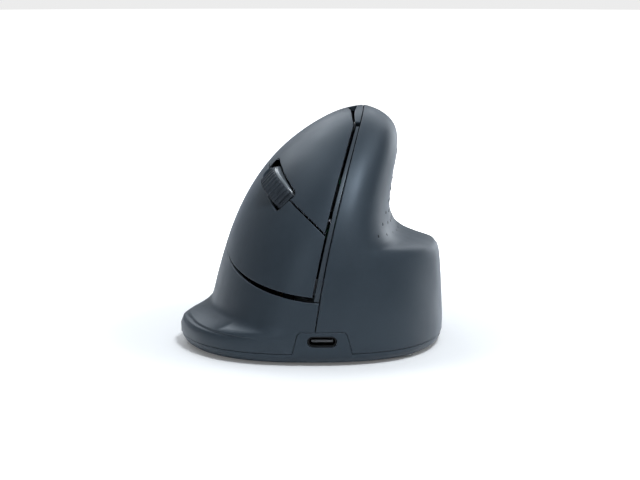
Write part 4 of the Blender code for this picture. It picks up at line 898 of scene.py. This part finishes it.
def tyre():
    """The ribbed tread. Its rows are (radius, height, share of a groove's depth)."""
    corner = [(11.4, 0, 0), (12.35, 0, 0), (12.66, 0.08, 0.15), (12.86, 0.3, 0.5), (12.97, 0.6, 0.9),
              (WHEEL_R, 1.0, 1.0)]
    rows = [(r, h + TYRE_FAR, g) for r, h, g in corner] + [(WHEEL_R, -0.6, 1.0), (WHEEL_R, 0.6, 1.0)]
    rows += [(r, TYRE_NEAR - h, g) for r, h, g in reversed(corner)]

    def wave(k, i):
        part = (k % RIB_STEPS) / RIB_STEPS
        groove = np.interp(part, [0, 0.1, 0.2, 0.3, 0.4, 0.55, 1.0], [0, 0.25, 0.85, 1.0, 0.85, 0.12, 0.0])
        return RIB_DEPTH * rows[i][2] * float(groove)

    return turned("wheel_tread", [(r, h) for r, h, _ in rows], AXLE_FRAME, RIBS * RIB_STEPS, wave)


# ---- Grip dots ----
def grip_dots():
    """Small oval studs in rows that fan out round the thumb scoop."""
    mesh = Skin()
    wide, tall = DOT_SIZE
    places = [(radians(first + DOT_STEP[0] * k), z + DOT_STEP[1] * k)
              for first, z in DOT_ROWS for k in range(DOTS_PER_ROW)]
    for psi, z in places:
        centre = skin(THUMB, psi, z)
        normal = outward(THUMB, psi, z)
        up = skin(THUMB, psi, z + 0.4) - skin(THUMB, psi, z - 0.4)
        up = unit(up - normal * (up @ normal))
        beside = np.cross(up, normal)
        levels = [(1.0, -0.25, 0.0), (1.0, 0.02, 0.3), (0.86, 0.10, 0.75), (0.55, 0.15, 0.95)]
        rings, tints = [], []
        for scale, height, tilt in levels:
            ring, tint = [], []
            for k in range(DOT_SIDES):
                a = 2 * pi * k / DOT_SIDES
                out = unit(beside * cos(a) / wide + up * sin(a) / tall)
                reach = beside * wide * cos(a) + up * tall * sin(a)
                ring.append(centre + scale * reach + normal * height)
                tint.append(unit(out * (1 - tilt) + normal * tilt))
            rings.append(mesh.add(ring))
            tints.append(tint)
        for k in range(len(rings) - 1):
            mesh.band(rings[k], rings[k + 1], tints[k], tints[k + 1])
        top = mesh.add([centre + normal * 0.16])[0]
        bottom = mesh.add([centre - normal * 0.25])[0]
        for k in range(DOT_SIDES):
            m = (k + 1) % DOT_SIDES
            mesh.face([rings[-1][k], rings[-1][m], top], [tints[-1][k], tints[-1][m], normal])
            mesh.face([rings[0][m], rings[0][k], bottom], [-normal, -normal, -normal])
    return mesh.make("grip_dots")


# ---- Materials ----
def new_material(name):
    """A material, its node tree and its shader."""
    made = bpy.data.materials.new(name)
    made.use_nodes = True
    return made, made.node_tree, made.node_tree.nodes["Principled BSDF"]


def fill(node, names, values):
    """Sets a node's sockets, each the same all over."""
    for socket, value in zip(names, values):
        node.inputs[socket].default_value = value


def ranged(tree, value, numbers):
    """A Map Range node's result. The numbers are the range it reads, then the range it gives."""
    node = tree.nodes.new("ShaderNodeMapRange")
    fill(node, ("From Min", "From Max", "To Min", "To Max"), numbers)
    tree.links.new(value, node.inputs["Value"])
    return node.outputs["Result"]


def finish(name, colour, rough, grain, bump, mottle=0.08, spread=0.05, metallic=0.0, coat=0.0, wear=0.0,
           stretch=(1, 1, 1), blotch=140, clear=0.0, sheen=0.0, tint=(1, 1, 1)):
    """A moulded or machined surface: fine grain, slow colour change, uneven gloss, paler worn edges."""
    made, tree, shader = new_material(name)
    nodes, links = tree.nodes, tree.links
    fill(shader, ("Metallic", "Specular Tint", "Transmission Weight"), (metallic, (*tint, 1), clear))
    fill(shader, ("Coat Weight", "Coat Roughness"), (coat, 0.25))
    fill(shader, ("Sheen Weight", "Sheen Roughness", "Sheen Tint"), (sheen, 0.35, (0.80, 0.88, 1.0, 1)))
    where = nodes.new("ShaderNodeTexCoord")
    scaled = nodes.new("ShaderNodeMapping")
    fill(scaled, ("Scale",), (stretch,))
    links.new(where.outputs["Object"], scaled.inputs["Vector"])

    def noise(scale, detail):
        node = nodes.new("ShaderNodeTexNoise")
        fill(node, ("Scale", "Detail"), (scale, detail))
        links.new(scaled.outputs["Vector"], node.inputs["Vector"])
        return node.outputs["Fac"]

    def mixed(factor, a, b):
        node = nodes.new("ShaderNodeMix")
        node.data_type = "RGBA"
        links.new(factor, node.inputs[0])
        for socket, value in ((node.inputs[6], a), (node.inputs[7], b)):
            if isinstance(value, tuple):
                socket.default_value = (*value, 1)
            else:
                links.new(value, socket)
        return node.outputs[2]

    def shade(factor, more=0.0):
        return tuple(min(1.0, c * factor + more) for c in colour)

    fine = noise(grain, 4)
    tone = mixed(noise(blotch, 3), shade(1 - mottle), shade(1 + mottle))
    tone = mixed(ranged(tree, fine, (0.3, 0.7, 0.0, 0.35)), tone, shade(0.8))
    if wear:
        edge = nodes.new("ShaderNodeNewGeometry").outputs["Pointiness"]
        tone = mixed(ranged(tree, edge, (0.52, 0.62, 0.0, wear)), tone, shade(1.8, 0.02))
    links.new(tone, shader.inputs["Base Color"])
    gloss = ranged(tree, noise(blotch * 0.6, 4), (0.3, 0.7, rough - spread, rough + spread))
    links.new(gloss, shader.inputs["Roughness"])
    ripple = nodes.new("ShaderNodeBump")
    fill(ripple, ("Strength", "Distance"), (1.0, bump * MM))
    links.new(fine, ripple.inputs["Height"])
    links.new(ripple.outputs["Normal"], shader.inputs["Normal"])
    return made


COLD = (0.74, 0.87, 1.0)  # tint of the dark parts' reflections
M = {  # name, colour, roughness, grain, bump in millimetres
    "casing": finish("casing_plastic", (0.031, 0.042, 0.054), 0.42, 2600, 0.008, wear=0.3, sheen=0.18,
                     tint=COLD),
    "base": finish("base_plastic", (0.029, 0.040, 0.052), 0.44, 2000, 0.012, wear=0.3, sheen=0.18,
                   tint=COLD),
    "trim": finish("strip_plastic", (0.048, 0.060, 0.073), 0.30, 4000, 0.003, spread=0.04, coat=0.3,
                   tint=COLD),
    "tyre": finish("tyre_rubber", (0.028, 0.033, 0.040), 0.6, 3500, 0.02, mottle=0.2, tint=COLD),
    "hub": finish("hub_gloss", (0.16, 0.18, 0.20), 0.2, 3000, 0.001, coat=0.6, spread=0.04),
    "steel": finish("brushed_steel", (0.60, 0.61, 0.62), 0.28, 900, 0.002, mottle=0.1, metallic=1.0,
                    stretch=(1, 14, 1)),
    "dark_steel": finish("dark_steel", (0.10, 0.10, 0.11), 0.35, 900, 0.002, metallic=1.0, mottle=0.1),
    "black_steel": finish("black_steel", (0.018, 0.019, 0.021), 0.5, 900, 0.002, metallic=0.5, mottle=0.1),
    "tongue": finish("tongue_resin", (0.13, 0.14, 0.15), 0.35, 2500, 0.004, mottle=0.1),
    "plastic": finish("black_plastic", (0.030, 0.032, 0.036), 0.48, 2000, 0.01, mottle=0.15),
    "plunger": finish("pale_plastic", (0.72, 0.69, 0.62), 0.4, 2000, 0.006),
    "board": finish("solder_mask", (0.016, 0.085, 0.042), 0.42, 700, 0.02, mottle=0.3, blotch=600),
    "chip": finish("chip_resin", (0.014, 0.014, 0.016), 0.38, 3000, 0.008, mottle=0.2),
    "lens": finish("clear_lens", (0.80, 0.85, 0.87), 0.06, 900, 0.0005, spread=0.02, mottle=0.03,
                   clear=0.85),
    "cell": finish("cell_foil", (0.46, 0.50, 0.55), 0.34, 300, 0.06, mottle=0.1, metallic=0.6),
    "foam": finish("foam_sheet", (0.075, 0.075, 0.078), 0.95, 1400, 0.12, mottle=0.35, blotch=1200),
    "glide": finish("glide_film", (0.62, 0.63, 0.64), 0.35, 1600, 0.006, mottle=0.05),
    "red_wire": finish("red_insulation", (0.48, 0.02, 0.02), 0.45, 1500, 0.006, mottle=0.15),
    "black_wire": finish("black_insulation", (0.016, 0.016, 0.018), 0.45, 1500, 0.006, mottle=0.15),
    "ribbon": finish("ribbon_film", (0.52, 0.33, 0.11), 0.38, 500, 0.006, mottle=0.2, stretch=(1, 8, 1),
                     blotch=900),
    "dot": finish("dot_rubber", (0.018, 0.021, 0.026), 0.6, 3000, 0.01, mottle=0.2),
}


def dress(made, material, body, nodes):
    """Gives a new piece its material and its body, and hides the CAD nodes that it stands for."""
    made.data.materials.clear()
    made.data.materials.append(M[material])
    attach(made, body)
    if nodes:
        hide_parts(*nodes)


def build_casing():
    """The shells, buttons, strip, base and grip dots."""
    crease = [(radians(p), float(lip_z(radians(p)))) for p in range(12, 92, 4)]
    ledge = [[(p, z + h) for p, z in crease] for h in (-0.9, -0.45, -0.15, 0.0, 0.1, 0.35)]
    casing = panel("finger_casing", FINGER, [finger_outline()], sink=lip, lines=ledge)
    dress(casing, "casing", "body", ["finger_shell"])
    start, end = THUMB_WINDOW_PSI
    opening = window(start, end, *THUMB_WINDOW, 1.2)
    dress(panel("thumb_casing", THUMB, [thumb_outline(), opening]), "casing", "body", ["thumb_shell"])
    dress(panel("index_key", FINGER, [key_boundary(UPPER)]), "casing", "index_button", ["index_button"])
    dress(panel("middle_key", FINGER, [key_boundary(LOWER)]), "casing", "middle_button", ["middle_button"])
    strip = panel("prow_strip", FINGER, [strip_outline()], spacing=0.9, edge=0.15, wall=1.2, sink=lean)
    dress(strip, "trim", "body", ["trim_strip"])
    gap = THUMB_GAP[0] / AROUND
    for name, low, high, body in (("forward_key", start, THUMB_KEY_SPLIT, "forward_button"),
                                  ("back_key", THUMB_KEY_SPLIT, end, "back_button")):
        bottom, top = THUMB_WINDOW[0] + THUMB_GAP[1], THUMB_WINDOW[1] - THUMB_GAP[1]
        ring = window(low + gap, high - gap, bottom, top, 1.0)
        dress(panel(name, THUMB, [ring], spacing=1.2, edge=0.4, lift=THUMB_LIFT), "casing", body, [body])
    dress(base(), "base", "body", ["base_shell"])
    dress(grip_dots(), "dot", "body", [])


def build_wheel():
    dress(hub(), "hub", "wheel", ["wheel_hub"])
    dress(tyre(), "tyre", "wheel", ["wheel_tyre"])


NODE_FINISH = (  # part of a CAD node's name, and its material; the first that fits is taken
    ("axle", "steel"), ("spring", "dark_steel"), ("screw", "steel"), ("port_shell", "black_steel"),
    ("plunger", "plunger"),
    ("tongue", "tongue"), ("board", "board"), ("lens", "lens"), ("sensor", "chip"), ("battery_pad", "foam"),
    ("battery_plug", "plunger"), ("lead_red", "red_wire"), ("lead_black", "black_wire"), ("battery", "cell"),
    ("ribbon", "ribbon"), ("glide", "glide"), ("slider", "plunger"), ("pairing_button", "plunger"),
    ("switch", "chip"), ("", "plastic"),
)


def dress_nodes():
    """Every CAD node that stays gets its procedural finish."""
    for name, node in frame["nodes"].items():
        found = next(material for part, material in NODE_FINISH if part in name)
        if not node.material_slots:
            node.data.materials.append(M[found])
        for slot in node.material_slots:
            slot.material = M[found]


# ---- Floor, light and camera ----
def floor():
    """Pale paper. Its glow is seen by the camera only and lights nothing."""
    made = prism("floor", circle(3000, 96), -20, 0)
    paper, tree, shader = new_material("paper")
    nodes, links = tree.nodes, tree.links
    fill(shader, ("Base Color", "Roughness", "Specular IOR Level"), ((0.9, 0.9, 0.9, 1), 0.9, 0.1))
    fill(shader, ("Emission Color",), ((1, 1, 1, 1),))
    where = nodes.new("ShaderNodeTexCoord")
    away = nodes.new("ShaderNodeVectorMath")
    away.operation = "LENGTH"
    links.new(where.outputs["Object"], away.inputs[0])
    seen = nodes.new("ShaderNodeMath")
    seen.operation = "MULTIPLY"
    links.new(ranged(tree, away.outputs["Value"], GLOW_REACH + FLOOR_GLOW), seen.inputs[0])
    links.new(nodes.new("ShaderNodeLightPath").outputs["Is Camera Ray"], seen.inputs[1])
    links.new(seen.outputs["Value"], shader.inputs["Emission Strength"])
    made.data.materials.append(paper)


def softbox(name, turn, rise_angle, radiance, size=BOX_SIZE):
    """A square area light that faces the mouse."""
    lamp = bpy.data.lights.new(name, "AREA")
    lamp.shape = "SQUARE"
    lamp.size = size
    lamp.energy = radiance * pi * size * size
    lamp.color = LAMP_COLOUR
    a, b = radians(turn), radians(rise_angle)
    away = Vector((sin(a) * cos(b), -cos(a) * cos(b), sin(b)))
    made = linked(name, lamp)
    made.location = away * LAMP_DISTANCE + LAMP_CENTRE
    made.rotation_euler = (-away).to_track_quat("-Z", "Y").to_euler()


def studio():
    """The floor, the softboxes, and a faint world light that the camera sees as white."""
    floor()
    world = bpy.data.worlds.new("studio")
    bpy.context.scene.world = world
    world.use_nodes = True
    nodes, links = world.node_tree.nodes, world.node_tree.links
    faint = nodes["Background"]
    fill(faint, ("Strength", "Color"), (WORLD_LIGHT, (0.97, 0.985, 1.0, 1)))
    white = nodes.new("ShaderNodeBackground")
    fill(white, ("Strength",), (1.05,))
    path = nodes.new("ShaderNodeLightPath")
    blend = nodes.new("ShaderNodeMixShader")
    links.new(path.outputs["Is Camera Ray"], blend.inputs["Fac"])
    links.new(faint.outputs["Background"], blend.inputs[1])
    links.new(white.outputs["Background"], blend.inputs[2])
    links.new(blend.outputs["Shader"], nodes["World Output"].inputs["Surface"])
    for lamp in SOFTBOXES:
        softbox(*lamp)


def camera():
    """The view of the photo."""
    lens = bpy.data.cameras.new("camera")
    lens.lens = LENS
    lens.sensor_width = SENSOR_WIDTH
    lens.shift_x = SHIFT[0] / PICTURE_WIDTH
    lens.shift_y = SHIFT[1] / PICTURE_WIDTH
    lens.clip_end = 20.0
    made = linked("camera", lens)
    made.location = CAMERA_AT
    made.rotation_euler = (radians(CAMERA_PITCH), 0, 0)
    bpy.context.scene.camera = made


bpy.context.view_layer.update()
bpy.context.scene.view_settings.view_transform = "Standard"
camera()
studio()
build_casing()
build_wheel()
dress_nodes()
